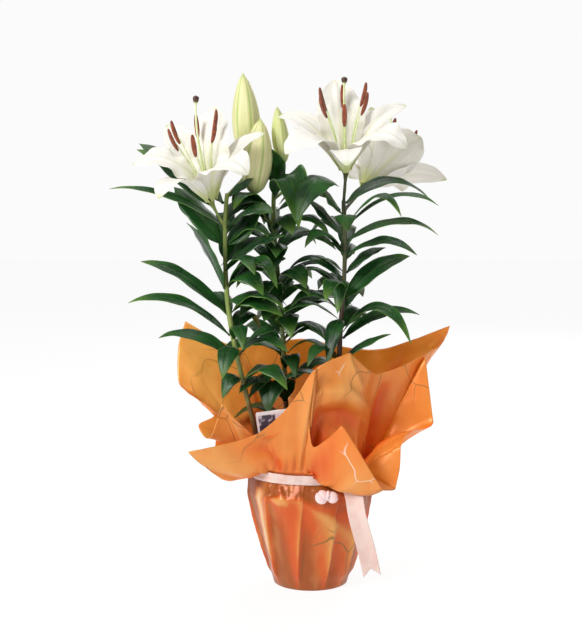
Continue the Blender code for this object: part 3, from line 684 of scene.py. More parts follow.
@dataclass(frozen=True)
class RibbonFinish:
    """Satin ribbon in pale pink, with fine ribs across its width."""

    pink: Colour = (0.81, 0.61, 0.545)
    blush: Colour = (0.77, 0.52, 0.46)
    roughness: float = 0.36

    def material(self, name: str) -> Material:
        """Makes the material.

        Args:
            name: Its name.

        Returns:
            The material.
        """
        graph = Graph(name, self.roughness)
        across, along, _ = graph.split(graph.chart())
        ribs = graph.math("SINE", graph.math("MULTIPLY", along, 900.0))
        cloud = graph.noise(graph.place(), 90.0, 2.0)
        body = graph.blend(graph.range(cloud, 0.35, 0.7), self.pink, self.blush)
        edge = graph.math("ABSOLUTE", graph.math("SUBTRACT", across, 0.5))
        body = graph.tint(body, self.blush, edge, 0.44, 0.49, 0.0, 0.35)
        graph.feed("Base Color", body)
        graph.bump(graph.math("ADD", graph.math("MULTIPLY", ribs, 0.3), cloud), 0.0002, 0.5)
        graph.set("Sheen Weight", 0.3)
        graph.scatter(0.2, (1.0, 0.6, 0.5), 0.002)
        return graph.material


@dataclass(frozen=True)
class StemFinish:
    """A fleshy stem: yellow-green, flushed brown towards its foot, with fine lengthwise lines."""

    green: Colour = (0.19, 0.27, 0.055)
    pale: Colour = (0.36, 0.42, 0.12)
    brown: Colour = (0.17, 0.085, 0.03)
    roughness: float = 0.42

    def material(self, name: str, brown_level: float, green_level: float) -> Material:
        """Makes the material.

        Args:
            name: Its name.
            brown_level: The height up to which the stem is brown.
            green_level: The height from which it is green.

        Returns:
            The material.
        """
        graph = Graph(name, self.roughness)
        place = graph.place()
        _, _, height = graph.split(place)
        lines = graph.noise(graph.stretch(place, (900.0, 900.0, 22.0)), 1.0, 2.0)
        patches = graph.noise(place, 60.0, 3.0)
        body = graph.blend(graph.range(lines, 0.35, 0.7), self.green, self.pale)
        flush = graph.math("MULTIPLY", graph.range(height, brown_level, green_level, 1.0, 0.12), patches)
        body = graph.tint(body, self.brown, flush, 0.05, 0.5)
        graph.feed("Base Color", body)
        graph.bump(lines, 0.0005, 0.6)
        graph.scatter(0.15, (0.5, 1.0, 0.2), 0.002)
        return graph.material


@dataclass(frozen=True)
class AntherFinish:
    """Anthers thick with rust-red pollen, in two lobes with a furrow between."""

    rust: Colour = (0.3, 0.062, 0.02)
    dark: Colour = (0.13, 0.026, 0.011)
    pollen: Colour = (0.42, 0.11, 0.03)

    def material(self, name: str) -> Material:
        """Makes the material.

        Args:
            name: Its name.

        Returns:
            The material.
        """
        graph = Graph(name, 0.88)
        grains = graph.noise(graph.place(), 1600.0, 2.0)
        cloud = graph.noise(graph.place(), 240.0, 2.0)
        body = graph.blend(graph.range(cloud, 0.3, 0.7), self.dark, self.rust)
        body = graph.tint(body, self.pollen, grains, 0.45, 0.7, 0.0, 0.5)
        graph.feed("Base Color", body)
        graph.bump(grains, 0.0006, 0.9)
        graph.set("Sheen Weight", 0.3)
        return graph.material


@dataclass(frozen=True)
class PistilFinish:
    """Pale green filaments and style, and a dark stigma at the top."""

    green: Colour = (0.6, 0.72, 0.3)
    pale: Colour = (0.78, 0.84, 0.52)
    stigma: Colour = (0.085, 0.035, 0.02)

    def material(self, name: str, dark_from: float) -> Material:
        """Makes the material, dark from this share of the length upwards.

        Args:
            name: Its name.
            dark_from: The share of the length from which it is dark.

        Returns:
            The material.
        """
        graph = Graph(name, 0.4)
        _, along, _ = graph.split(graph.chart())
        cloud = graph.noise(graph.place(), 150.0, 2.0)
        body = graph.blend(graph.range(cloud, 0.3, 0.7), self.green, self.pale)
        body = graph.tint(body, self.stigma, along, dark_from, dark_from + 0.02)
        graph.feed("Base Color", body)
        graph.bump(cloud, 0.0004, 0.5)
        graph.scatter(0.2, (0.8, 1.0, 0.4), 0.002)
        return graph.material


@dataclass(frozen=True)
class SoilFinish:
    """Damp peat compost: dark fibres, with paler flecks of bark."""

    peat: Colour = (0.03, 0.018, 0.011)
    bark: Colour = (0.11, 0.062, 0.034)
    flecks: Colour = (0.2, 0.13, 0.08)

    def material(self, name: str) -> Material:
        """Makes the material.

        Args:
            name: Its name.

        Returns:
            The material.
        """
        graph = Graph(name, 0.92)
        place = graph.place()
        coarse = graph.noise(place, 260.0, 5.0, 0.65)
        fine = graph.noise(place, 1100.0, 3.0, 0.6)
        body = graph.blend(graph.range(coarse, 0.42, 0.68), self.peat, self.bark)
        body = graph.tint(body, self.flecks, fine, 0.55, 0.8, 0.0, 0.6)
        graph.feed("Base Color", body)
        graph.bump(graph.math("ADD", coarse, graph.math("MULTIPLY", fine, 0.4)), 0.003, 0.9)
        return graph.material


@dataclass(frozen=True)
class PotFinish:
    """Thin moulded brown plastic, faintly ringed and scuffed."""

    brown: Colour = (0.085, 0.042, 0.03)
    scuffed: Colour = (0.14, 0.085, 0.065)

    def material(self, name: str) -> Material:
        """Makes the material.

        Args:
            name: Its name.

        Returns:
            The material.
        """
        graph = Graph(name, 0.5)
        place = graph.place()
        scuffs = graph.noise(graph.stretch(place, (1.0, 1.0, 3.0)), 90.0, 4.0)
        rings = graph.math("SINE", graph.math("MULTIPLY", graph.split(place)[2], 1400.0))
        graph.feed("Base Color", graph.blend(graph.range(scuffs, 0.5, 0.75), self.brown, self.scuffed))
        graph.feed("Roughness", graph.range(scuffs, 0.3, 0.7, 0.42, 0.62))
        graph.bump(graph.math("ADD", scuffs, graph.math("MULTIPLY", rings, 0.1)), 0.0004, 0.6)
        return graph.material


@dataclass(frozen=True)
class BulbFinish:
    """Fleshy bulb scales, cream with brown papery edges."""

    cream: Colour = (0.66, 0.55, 0.34)
    brown: Colour = (0.28, 0.16, 0.07)

    def material(self, name: str) -> Material:
        """Makes the material.

        Args:
            name: Its name.

        Returns:
            The material.
        """
        graph = Graph(name, 0.55)
        scales = graph.cracks(graph.stretch(graph.place(), (1.0, 1.0, 0.5)), 90.0)
        graph.feed("Base Color", graph.blend(graph.range(scales, 0.0, 0.2), self.brown, self.cream))
        graph.bump(scales, 0.002, 0.8)
        return graph.material


@dataclass(frozen=True)
class CardFinish:
    """A plant label: a pale rim round a soft dark picture of blossom, with a pink panel beside it."""

    rim: Colour = (0.9, 0.8, 0.78)
    dark: Colour = (0.045, 0.03, 0.05)
    blossom: Colour = (0.62, 0.5, 0.58)
    panel: Colour = (0.8, 0.62, 0.66)

    def material(self, name: str) -> Material:
        """Makes the material, laid out on the card's own chart.

        Args:
            name: Its name.

        Returns:
            The material.
        """
        graph = Graph(name, 0.38)
        across, up, _ = graph.split(graph.chart())
        shapes = graph.noise(graph.stretch(graph.chart(), (3.0, 9.0, 1.0)), 1.6, 2.0)
        picture = graph.blend(graph.range(shapes, 0.5, 0.66), self.dark, self.blossom)
        beside = graph.range(across, 0.52, 0.56)
        inner = graph.blend(beside, picture, self.panel)
        from_side = graph.math("MINIMUM", across, graph.math("SUBTRACT", 1.0, across))
        from_end = graph.math("MINIMUM", up, graph.math("SUBTRACT", 1.0, up))
        inside = graph.math(
            "MULTIPLY", graph.range(from_side, 0.055, 0.075), graph.range(from_end, 0.03, 0.04)
        )
        graph.feed("Base Color", graph.blend(inside, self.rim, inner))
        graph.bump(graph.noise(graph.place(), 900.0, 2.0), 0.00005, 0.5)
        graph.set("Coat Weight", 0.4)
        graph.set("Coat Roughness", 0.2)
        return graph.material


@dataclass(frozen=True)
class GroundFinish:
    """A plain pale studio floor, lit a little from within so that it stays pale far away."""

    white: Colour = (0.1, 0.1, 0.1)
    grey: Colour = (0.09, 0.09, 0.09)
    glow: float = 0.905

    def material(self, name: str) -> Material:
        """Makes the material.

        Args:
            name: Its name.

        Returns:
            The material.
        """
        graph = Graph(name, 0.8)
        cloud = graph.noise(graph.place(), 2.0, 1.0)
        graph.feed("Base Color", graph.blend(graph.range(cloud, 0.2, 0.8), self.white, self.grey))
        graph.set("Emission Color", (1.0, 1.0, 1.0, 1.0))
        graph.set("Emission Strength", self.glow)
        return graph.material


# ---------------- blades


@dataclass(frozen=True)
class Section:
    """One cross-section of a blade: its middle, the ways to its right and off its upper face, its
    half width, and how far its margins lie below its middle."""

    centre: Vector
    side: Vector
    up: Vector
    half_width: float
    drop: float


@dataclass(frozen=True)
class BladeCourse:
    """A blade's sections from foot to tip, evenly spaced."""

    sections: tuple[Section, ...]

    @classmethod
    def of_node(cls, node: str, holder: str) -> "BladeCourse":
        """Reads the sections of a CAD blade.

        Args:
            node: The blade's node.
            holder: The node that its foot springs from.

        Returns:
            The course, from that foot to the tip.
        """
        places, links, ends = read_ends(node)
        stalk = merged_copy(holder)
        tree = BVHTree.FromBMesh(stalk)
        stalk.free()
        foot = min(ends, key=lambda point: tree.find_nearest(places[point])[3])
        rings = [[places[point] for point in ring] for ring in rings_from(links, foot)]
        middles, margins, sides = [], [], []
        for ring in rings[1:-1]:
            pairs = ((a, b) for i, a in enumerate(ring) for b in ring[i + 1 :])
            left, right = max(pairs, key=lambda pair: (pair[0] - pair[1]).length)
            rest = [point for point in ring if point is not left and point is not right]
            share = 0.25 if len(ring) == 6 else 0.0
            margin = (left + right) / 2
            middles.append((sum(rest, Vector()) / len(rest) - margin * share) / (1 - share))
            margins.append(margin)
            across = (right - left) / 2
            sides.append(-across if sides and across.dot(sides[-1]) < 0 else across)
        spine = [rings[0][0], *middles, rings[-1][0]]
        return cls(cls.oriented(spine, margins, sides))

    @staticmethod
    def oriented(spine: list[Vector], margins: list[Vector], sides: list[Vector]) -> tuple[Section, ...]:
        """Turns spine, margins and half widths into sections with their upper faces outwards.

        Args:
            spine: The middle line's points, with both ends.
            margins: The point midway between the margins, for each section between the ends.
            sides: The way from the middle to one margin, for the same sections.

        Returns:
            The sections from foot to tip.
        """
        drops = [middle - margin for middle, margin in zip(spine[1:-1], margins)]
        ups = []
        for i, across in enumerate(sides):
            forward = spine[i + 2] - spine[i]
            ups.append(across.cross(forward).normalized())
        if sum(drop.dot(up) for drop, up in zip(drops, ups)) < 0:
            sides = [-across for across in sides]
            ups = [-up for up in ups]
        sections = [
            Section(middle, across.normalized(), up, across.length, drop.dot(up))
            for middle, across, up, drop in zip(spine[1:-1], sides, ups, drops)
        ]
        foot = Section(spine[0], sections[0].side, sections[0].up, 0.0, 0.0)
        tip = Section(spine[-1], sections[-1].side, sections[-1].up, 0.0, 0.0)
        return (foot, *sections, tip)

    def turned(self, degrees: float, broaden: float) -> "BladeCourse":
        """Returns the blade turned about its own line and broadened.

        Args:
            degrees: How far it turns.
            broaden: How many times as wide it becomes.

        Returns:
            The new course.
        """
        sections = []
        for section in self.sections:
            forward = section.up.cross(section.side)
            turn = Matrix.Rotation(math.radians(degrees), 3, forward)
            half = section.half_width * broaden
            side, up = turn @ section.side, turn @ section.up
            sections.append(Section(section.centre, side, up, half, section.drop))
        return BladeCourse(tuple(sections))

    def at(self, t: float) -> Section:
        """Returns the section at this share of the length.

        Args:
            t: The share of the length, from 0 to 1.

        Returns:
            The section there.
        """
        return Section(
            along_points([section.centre for section in self.sections], t),
            along_points([section.side for section in self.sections], t).normalized(),
            along_points([section.up for section in self.sections], t).normalized(),
            max(0.0, along_points([section.half_width for section in self.sections], t)),
            along_points([section.drop for section in self.sections], t),
        )


@dataclass(frozen=True)
class Blade:
    """How a blade is shaped on its course: keel, waves and thickness."""

    across: int
    along: int
    thickness: float
    groove: float
    wave: float
    waves: float
    seed: float
    foot_width: float = 0.0
    broaden: float = 1.0
    fullness: float = 1.0
    least_width: float = 2e-5

    def build(self, course: BladeCourse) -> Mesh:
        """Shapes the blade's surface along a course.

        Args:
            course: The course to follow.

        Returns:
            The open surface, without its thickness.
        """
        sections = [course.at(step / self.along) for step in range(self.along + 1)]
        widest = max(section.half_width for section in sections)

        def place(u: float, v: float) -> Vector:
            """Returns a point of the blade.

            Args:
                u: The share across or round it.
                v: The share along it.

            Returns:
                The point.
            """
            section = sections[round(v * self.along)]
            side = 2 * u - 1
            width = widest * (section.half_width / widest) ** self.fullness
            width = max(width * self.broaden, self.foot_width * (1 - ease(v, 0.0, 0.16)), self.least_width)
            turns = 2 * math.pi * self.waves * v
            ripple = math.sin(turns + self.seed + (1.3 if side > 0 else 0.0))
            second = math.sin(2.3 * turns + 2.1 * self.seed + (2.4 if side > 0 else 0.0))
            lift = -section.drop * side * side
            lift += self.wave * width * (ripple + 0.5 * second) * abs(side) ** 2.4 * ease(v, 0.06, 0.4)
            lift -= self.groove * width * math.exp(-((side / 0.14) ** 2)) * ease(v, 0.0, 0.1)
            return section.centre + section.side * (side * width) + section.up * lift

        bm = patch(self.across, self.along, place)
        bmesh.ops.remove_doubles(bm, verts=bm.verts, dist=3 * self.least_width)
        return bm


# ---------------- stems and leaves


@dataclass
class Stem:
    """One flowering stem with its pedicels, over the CAD stem."""

    name: str
    finish: StemFinish = field(default_factory=StemFinish)
    brown_from: float = 0.05
    green_from: float = 0.2
    knuckle_rate: float = 330.0
    knuckle_height: float = 0.00022

    def __post_init__(self) -> None:
        """Keeps the CAD stem's points and edges for reading its centre line."""
        bm = merged_copy(self.node)
        self.edges = [(edge.verts[0].co.copy(), edge.verts[1].co.copy()) for edge in bm.edges]
        bm.free()

    @property
    def node(self) -> str:
        """Returns the CAD node's name."""
        return f"stem_{self.name}"

    def centre(self, level: float) -> tuple[Vector, float]:
        """Returns the stem's middle and radius at a level.

        Args:
            level: The level, in metres above the ground.

        Returns:
            The middle, and the distance from it to the furthest point of the cut.
        """
        cut = [
            low.lerp(high, (level - low.z) / (high.z - low.z))
            for low, high in self.edges
            if (low.z - level) * (high.z - level) < 0
        ]
        middle = sum(cut, Vector()) / len(cut)
        return middle, max((point - middle).length for point in cut)

    def build(self, soil: float) -> Piece:
        """Builds the stem from a merged copy of its CAD node, rounded.

        Args:
            soil: The soil's level.

        Returns:
            The finished stem.
        """
        bm = merged_copy(self.node)
        for vert in bm.verts:
            knuckle = math.sin(vert.co.z * self.knuckle_rate + len(self.name))
            vert.co += vert.normal * (self.knuckle_height * knuckle)
        material = self.finish.material(f"{self.node}_flesh", soil + self.brown_from, soil + self.green_from)
        piece = finish_piece(f"{self.node}_flesh", bm, material, Slot.STEM, (self.node,))
        soften(piece, 2)
        return piece


@dataclass(frozen=True)
class SideLeaf:
    """A leaf that the CAD model leaves to the looks: where it springs from and how it lies."""

    stem: str
    height: float
    azimuth: float
    reach: float
    rise: float
    arch: float
    hook: float
    width: float
    face: float = 0.0

    def course(self, stem: Stem, soil: float) -> BladeCourse:
        """Works out the leaf's sections from its stem outwards.

        Args:
            stem: The stem that it springs from.
            soil: The soil's level.

        Returns:
            The course, with its upper face upwards.
        """
        root, radius = stem.centre(soil + self.height)
        out = heading(self.azimuth)
        level = Vector((-out.y, out.x, 0.0))
        start = root + out * radius * 0.8
        steps = 9

        def spine(t: float) -> Vector:
            """Returns the leaf's middle at this share of its length.

            Args:
                t: The share along it.

            Returns:
                The point.
            """
            run = self.reach * (t + self.hook * t * (1 - t))
            lift = self.rise * t + 4 * self.arch * t * (1 - t)
            return start + out * run + Vector((0, 0, lift))

        sections = []
        for step in range(steps + 1):
            t = step / steps
            forward = (spine(t + 0.01) - spine(t - 0.01)).normalized()
            side = (level - forward * level.dot(forward)).normalized()
            side = Matrix.Rotation(math.radians(math.copysign(self.face, out.x)), 3, forward) @ side
            half = self.width / 2 * lance(t, 0.42, 0.9)
            sections.append(Section(spine(t), side, side.cross(forward).normalized(), half, 0.2 * half))
        if sections[steps // 3].up.z < 0:
            sections = [Section(s.centre, -s.side, -s.up, s.half_width, s.drop) for s in sections]
        return BladeCourse(tuple(sections))


@dataclass
class Foliage:
    """All the leaves: those over the CAD leaves, and the smaller and hidden ones between them."""

    stems: dict[str, Stem]
    soil: float
    across: int = 10
    along: int = 40
    thickness: float = 0.00045
    finish: LeafFinish = field(default_factory=LeafFinish)
    reshaped: dict[str, tuple[float, float]] = field(
        default_factory=lambda: {
            "leaf_middle_1": (1.3, 0.0),
            "leaf_left_1": (1.7, 0.0),
            "leaf_left_3": (1.35, 30.0),
        }
    )
    spiral_step: float = 0.0095
    spiral_turn: float = 137.5
    film_clear: float = 0.15
    freshness: Triple = (0.1, 0.5, 0.95)
    spirals: tuple[tuple[str, float, float, float, float], ...] = (
        ("left", 0.11, 0.32, 110.0, 280.0),
        ("middle", 0.07, 0.33, 0.0, 0.0),
        ("right", 0.11, 0.33, 280.0, 60.0),
    )
    side_leaves: tuple[SideLeaf, ...] = (
        SideLeaf("left", 0.28, 152, 0.064, 0.064, 0.008, 0.1, 0.034, 24),
        SideLeaf("left", 0.166, 250, 0.034, -0.03, 0.014, 0.2, 0.024, 10),
        SideLeaf("left", 0.132, 222, 0.026, -0.02, 0.012, 0.2, 0.022, 20),
        SideLeaf("left", 0.219, 350, 0.06, -0.017, 0.012, 0.2, 0.036, 24),
        SideLeaf("left", 0.334, 20, 0.028, 0.02, 0.004, 0.1, 0.016, 20),
        SideLeaf("left", 0.28, 8, 0.04, 0.048, 0.004, 0.1, 0.036, 30),
        SideLeaf("left", 0.258, 350, 0.066, 0.033, 0.012, 0.1, 0.03, 20),
        SideLeaf("left", 0.262, 40, 0.07, 0.012, 0.02, 0.1, 0.022),
        SideLeaf("left", 0.205, 20, 0.066, 0.006, 0.02, 0.1, 0.024),
        SideLeaf("left", 0.16, 335, 0.062, 0.004, 0.018, 0.1, 0.022, 16),
        SideLeaf("left", 0.29, 92, 0.08, 0.006, 0.022, 0.1, 0.022),
        SideLeaf("left", 0.2, 108, 0.078, 0.01, 0.02, 0.1, 0.022),
        SideLeaf("middle", 0.3, 200, 0.06, 0.01, 0.02, 0.1, 0.028, 16),
        SideLeaf("middle", 0.27, 340, 0.07, 0.004, 0.022, 0.1, 0.026, 16),
        SideLeaf("middle", 0.24, 160, 0.07, 0.012, 0.02, 0.1, 0.024),
        SideLeaf("middle", 0.215, 250, 0.06, -0.002, 0.026, 0.2, 0.024),
        SideLeaf("middle", 0.17, 320, 0.06, 0.004, 0.02, 0.1, 0.022),
        SideLeaf("middle", 0.125, 210, 0.055, -0.006, 0.02, 0.1, 0.02),
        SideLeaf("middle", 0.286, 86, 0.082, 0.004, 0.022, 0.1, 0.024),
        SideLeaf("middle", 0.226, 62, 0.08, 0.008, 0.02, 0.1, 0.022),
        SideLeaf("left", 0.322, 166, 0.086, 0.07, 0.012, 0.1, 0.03, 34),
        SideLeaf("middle", 0.346, 258, 0.024, 0.04, 0.006, 0.1, 0.028, 10),
        SideLeaf("middle", 0.316, 232, 0.052, 0.004, 0.018, 0.1, 0.03, 24),
        SideLeaf("middle", 0.296, 292, 0.054, -0.004, 0.018, 0.1, 0.03, 24),
        SideLeaf("middle", 0.258, 262, 0.05, -0.012, 0.018, 0.2, 0.03, 10),
        SideLeaf("middle", 0.236, 300, 0.06, -0.004, 0.02, 0.1, 0.028, 20),
        SideLeaf("middle", 0.198, 222, 0.06, 0.002, 0.02, 0.1, 0.028, 20),
        SideLeaf("middle", 0.186, 282, 0.048, -0.01, 0.02, 0.2, 0.028, 10),
        SideLeaf("left", 0.3, 330, 0.06, 0.016, 0.014, 0.1, 0.03, 26),
        SideLeaf("left", 0.236, 316, 0.056, -0.008, 0.018, 0.2, 0.028, 20),
        SideLeaf("right", 0.345, 222, 0.064, -0.04, 0.026, 0.3, 0.038, 20),
        SideLeaf("right", 0.3, 330, 0.068, 0.012, 0.03, 0.3, 0.016, 20),
        SideLeaf("right", 0.248, 12, 0.046, 0.028, 0.008, 0.0, 0.018, 20),
        SideLeaf("right", 0.15, 352, 0.056, 0.03, 0.006, 0.0, 0.016, 20),
        SideLeaf("right", 0.29, 170, 0.04, 0.04, 0.006, 0.1, 0.02, 20),
        SideLeaf("right", 0.314, 190, 0.03, 0.033, 0.006, 0.1, 0.028, 20),
        SideLeaf("right", 0.27, 200, 0.02, 0.012, 0.006, 0.1, 0.014),
        SideLeaf("right", 0.25, 165, 0.026, 0.014, 0.006, 0.1, 0.016),
        SideLeaf("right", 0.236, 185, 0.046, 0.014, 0.01, 0.1, 0.016),
        SideLeaf("right", 0.238, 255, 0.03, -0.033, 0.014, 0.2, 0.018),
        SideLeaf("right", 0.196, 245, 0.036, -0.048, 0.014, 0.2, 0.02),
        SideLeaf("right", 0.23, 150, 0.07, 0.008, 0.02, 0.1, 0.024),
        SideLeaf("right", 0.205, 200, 0.062, 0.004, 0.022, 0.1, 0.022, 14),
        SideLeaf("right", 0.15, 160, 0.06, 0.004, 0.02, 0.1, 0.02),
        SideLeaf("right", 0.276, 84, 0.08, 0.006, 0.022, 0.1, 0.022),
        SideLeaf("right", 0.206, 70, 0.08, 0.008, 0.02, 0.1, 0.022),
    )

    def filling(self) -> list[SideLeaf]:
        """Returns the leaves that fill the plant's heart, set round each stem in a spiral.

        Returns:
            The leaves, from the bottom of each stem upwards.
        """
        draw = random.Random(11)
        leaves = []
        for stem, bottom, top, closed_from, closed_to in self.spirals:
            count = int((top - bottom) / self.spiral_step)
            for i in range(count):
                azimuth = (self.spiral_turn * i + 40) % 360
                if (azimuth - closed_from) % 360 < (closed_to - closed_from) % 360:
                    continue
                height = bottom + self.spiral_step * i
                leaf = SideLeaf(
                    stem, height, azimuth, draw.uniform(0.054, 0.078), draw.uniform(-0.006, 0.012),
                    draw.uniform(0.016, 0.026), 0.2, draw.uniform(0.019, 0.027), draw.uniform(-14, 22),
                )
                behind = 40 < azimuth < 150
                if not (behind and height < self.film_clear):
                    leaves.append(leaf)
        return leaves

    def build(self) -> None:
        """Builds every leaf, with three finishes shared out among them."""
        finishes = [self.finish.material(f"leaf_finish_{i}", fresh) for i, fresh in enumerate(self.freshness)]
        nodes = sorted(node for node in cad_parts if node.startswith("leaf_"))
        for index, node in enumerate(nodes):
            stem = node.split("_")[1]
            broaden, turn = self.reshaped.get(node, (1.0, 0.0))
            course = BladeCourse.of_node(node, f"stem_{stem}").turned(turn, broaden)
            self.add(f"{node}_blade", course, index, finishes[(1, 2, 0)[index % 3]], (node,))
        for index, leaf in enumerate((*self.side_leaves, *self.filling())):
            course = leaf.course(self.stems[leaf.stem], self.soil)
            material = finishes[(0, 1, 0, 2)[index % 4]]
            self.add(f"leaf_{leaf.stem}_between_{index + 1}", course, 40 + index, material)

    def add(
        self,
        name: str,
        course: BladeCourse,
        seed: int,
        material: Material,
        replaces: Sequence[str] = (),
    ) -> None:
        """Builds one leaf on its course.

        Args:
            name: The leaf's name.
            course: Its course.
            seed: A number that sets its waves.
            material: Its finish.
            replaces: The CAD nodes that it stands for.
        """
        blade = Blade(
            self.across, self.along, self.thickness, groove=0.1, wave=0.1, waves=1.4, seed=1.7 * seed,
            foot_width=0.0022,
        )
        piece = finish_piece(name, blade.build(course), material, Slot.LEAF, replaces)
        thicken(piece, self.thickness)


# ---------------- flowers and buds


@dataclass
class Flower:
    """An open flower: six tepals, six stamens and a pistil."""

    name: str
    stem: str
    foot: Triple
    facing: Triple
    pistil_share: float
    filament_length: float = 0.074
    filament_radius: float = 0.0009
    anther_length: float = 0.027
    anther_radius: float = 0.0024
    pistil_length: float = 0.118
    pistil_radius: float = 0.0011
    ovary_swell: float = 0.001
    stigma_swell: float = 0.0024
    stigma_reach: float = 0.012
    petal_thickness: float = 0.0007

    def frame_vectors(self, soil: float) -> tuple[Vector, Vector, Vector, Vector]:
        """Returns the flower's foot, its facing, and the two ways across it.

        Args:
            soil: The soil's level.

        Returns:
            The foot, the way it faces, the way to its right and the way to its back.
        """
        facing = Vector(self.facing).normalized()
        x, y, height = self.foot
        rightward = (Vector((1, 0, 0)) - facing * facing.x).normalized()
        return Vector((x, y, soil + height)), facing, rightward, facing.cross(rightward)

    def build(
        self,
        soil: float,
        petals: dict[Whorl, Material],
        anther: Material,
        filament: Material,
        pistil: Material,
    ) -> None:
        """Builds the whole flower.

        Args:
            soil: The soil's level.
            petals: The tepals' finish for each whorl.
            anther: The anthers' finish.
            filament: The filaments' finish.
            pistil: The pistil's finish.
        """
        for index in range(6):
            node = f"{self.name}_tepal_{index + 1}"
            whorl = Whorl.INNER if index % 2 else Whorl.OUTER
            self.build_tepal(node, whorl, index, petals[whorl])
        self.build_stamens(soil, anther, filament)
        self.build_pistil(soil, pistil)

    def build_tepal(self, node: str, whorl: Whorl, index: int, material: Material) -> None:
        """Builds one tepal over its CAD node, ruffled at the margins.

        Args:
            node: The tepal's node.
            whorl: The ring that it belongs to.
            index: Its place in the flower, from 0.
            material: Its finish.
        """
        course = BladeCourse.of_node(node, f"stem_{self.stem}")
        broad = whorl is Whorl.INNER
        blade = Blade(
            20, 48, self.petal_thickness, groove=0.1 if broad else 0.05, wave=0.11 if broad else 0.06,
            waves=2.6 if broad else 1.6, seed=2.3 * index + len(self.name), foot_width=0.003,
            broaden=1.3 if broad else 1.22, fullness=0.82,
        )
        piece = finish_piece(f"{node}_petal", blade.build(course), material, Slot.PETAL, (node,))
        thicken(piece, blade.thickness)
        soften(piece, 1)

    def build_stamens(self, soil: float, anther: Material, filament: Material) -> None:
        """Builds six filaments as one piece and six two-lobed anthers as another.

        Args:
            soil: The soil's level.
            anther: The anthers' finish.
            filament: The filaments' finish.
        """
        foot, facing, rightward, rearward = self.frame_vectors(soil)
        stalks = bmesh.new()
        lobes = bmesh.new()
        shares = (0.0, 0.2, 0.4, 0.6, 0.8, 1.0)
        for i in range(6):
            turn = math.radians(60 * i + 30)
            out = rightward * math.cos(turn) + rearward * math.sin(turn)
            reach = self.filament_length * (1.0 + 0.05 * math.cos(2.4 * i))
            start = foot + facing * 0.001 + out * 0.003
            line = [
                start + facing * reach * t + out * (0.015 * t + 0.007 * t**3) + Vector((0, 0, 0.004 * t**3))
                for t in shares
            ]
            radii = [self.filament_radius * (1.3 - 0.7 * t) for t in shares]
            pour(rod(line, radii, 8, 24), stalks)
            lie = (facing * 0.55 + out * 0.35 + Vector((0, 0, 0.6))).normalized()
            centre = line[-1] + out * (self.anther_radius * 0.6)
            pour(self.anther(centre, lie, out), lobes)
        finish_piece(f"{self.name}_filaments", stalks, filament, Slot.PISTIL)
        finish_piece(f"{self.name}_anthers", lobes, anther, Slot.ANTHER, (f"{self.name}_stamens",))

    def anther(self, centre: Vector, lie: Vector, out: Vector) -> Mesh:
        """Builds one anther: a long body with a furrow down both faces, its ends curled.

        Args:
            centre: Its middle.
            lie: The way that it points.
            out: The way out from the flower's middle.

        Returns:
            The closed surface.
        """
        bm = bmesh.new()
        bmesh.ops.create_uvsphere(bm, u_segments=20, v_segments=16, radius=1.0)
        for vert in bm.verts:
            turn = math.atan2(vert.co.y, vert.co.x)
            wide = math.hypot(vert.co.x, vert.co.y) ** 0.75
            furrow = 1 - 0.32 * math.exp(-((math.sin(turn) / 0.35) ** 2))
            vert.co.x = math.cos(turn) * wide * 0.95 * furrow
            vert.co.y = math.sin(turn) * wide * 1.15
            vert.co.x += 0.5 * vert.co.z**2
        size = (self.anther_radius, self.anther_radius, self.anther_length / 2)
        bmesh.ops.scale(bm, verts=bm.verts, vec=size)
        inward = (out - lie * out.dot(lie)).normalized()
        axes = Matrix((-inward, lie.cross(-inward), lie)).transposed().to_4x4()
        bmesh.ops.transform(bm, verts=bm.verts, matrix=Matrix.Translation(centre) @ axes)
        bmesh.ops.recalc_face_normals(bm, faces=bm.faces)
        return bm

    def build_pistil(self, soil: float, material: Material) -> None:
        """Builds the ovary, the style and the three-lobed stigma.

        Args:
            soil: The soil's level.
            material: Its finish.
        """
        foot, facing, _, _ = self.frame_vectors(soil)
        seat = foot + facing * 0.0026
        length = self.pistil_length * self.pistil_share
        lift = Vector((0, 0, 1)) - facing * facing.z
        steps = 24
        line, radii = [], []
        for step in range(steps + 1):
            t = step / steps
            line.append(seat + facing * length * t + lift * 0.05 * t**3)
            ovary = self.ovary_swell * (1 - ease(t, 0.16, 0.26))
            stigma = self.stigma_swell * ease(t, 0.92, 0.975)
            radii.append(self.pistil_radius + ovary + stigma)
        bm = rod(line, radii, 24, 96)
        tip, top = line[-1], (line[-1] - line[-2]).normalized()
        for vert in bm.verts:
            away = vert.co - tip
            if away.length < self.stigma_reach:
                flat = away - top * away.dot(top)
                if flat.length > WELD:
                    turn = math.atan2(flat.dot(top.orthogonal()), flat.dot(top.cross(top.orthogonal())))
                    vert.co += flat * 0.22 * math.cos(3 * turn) * (1 - away.length / self.stigma_reach)
        finish_piece(f"{self.name}_style", bm, material, Slot.PISTIL, (f"{self.name}_pistil",))


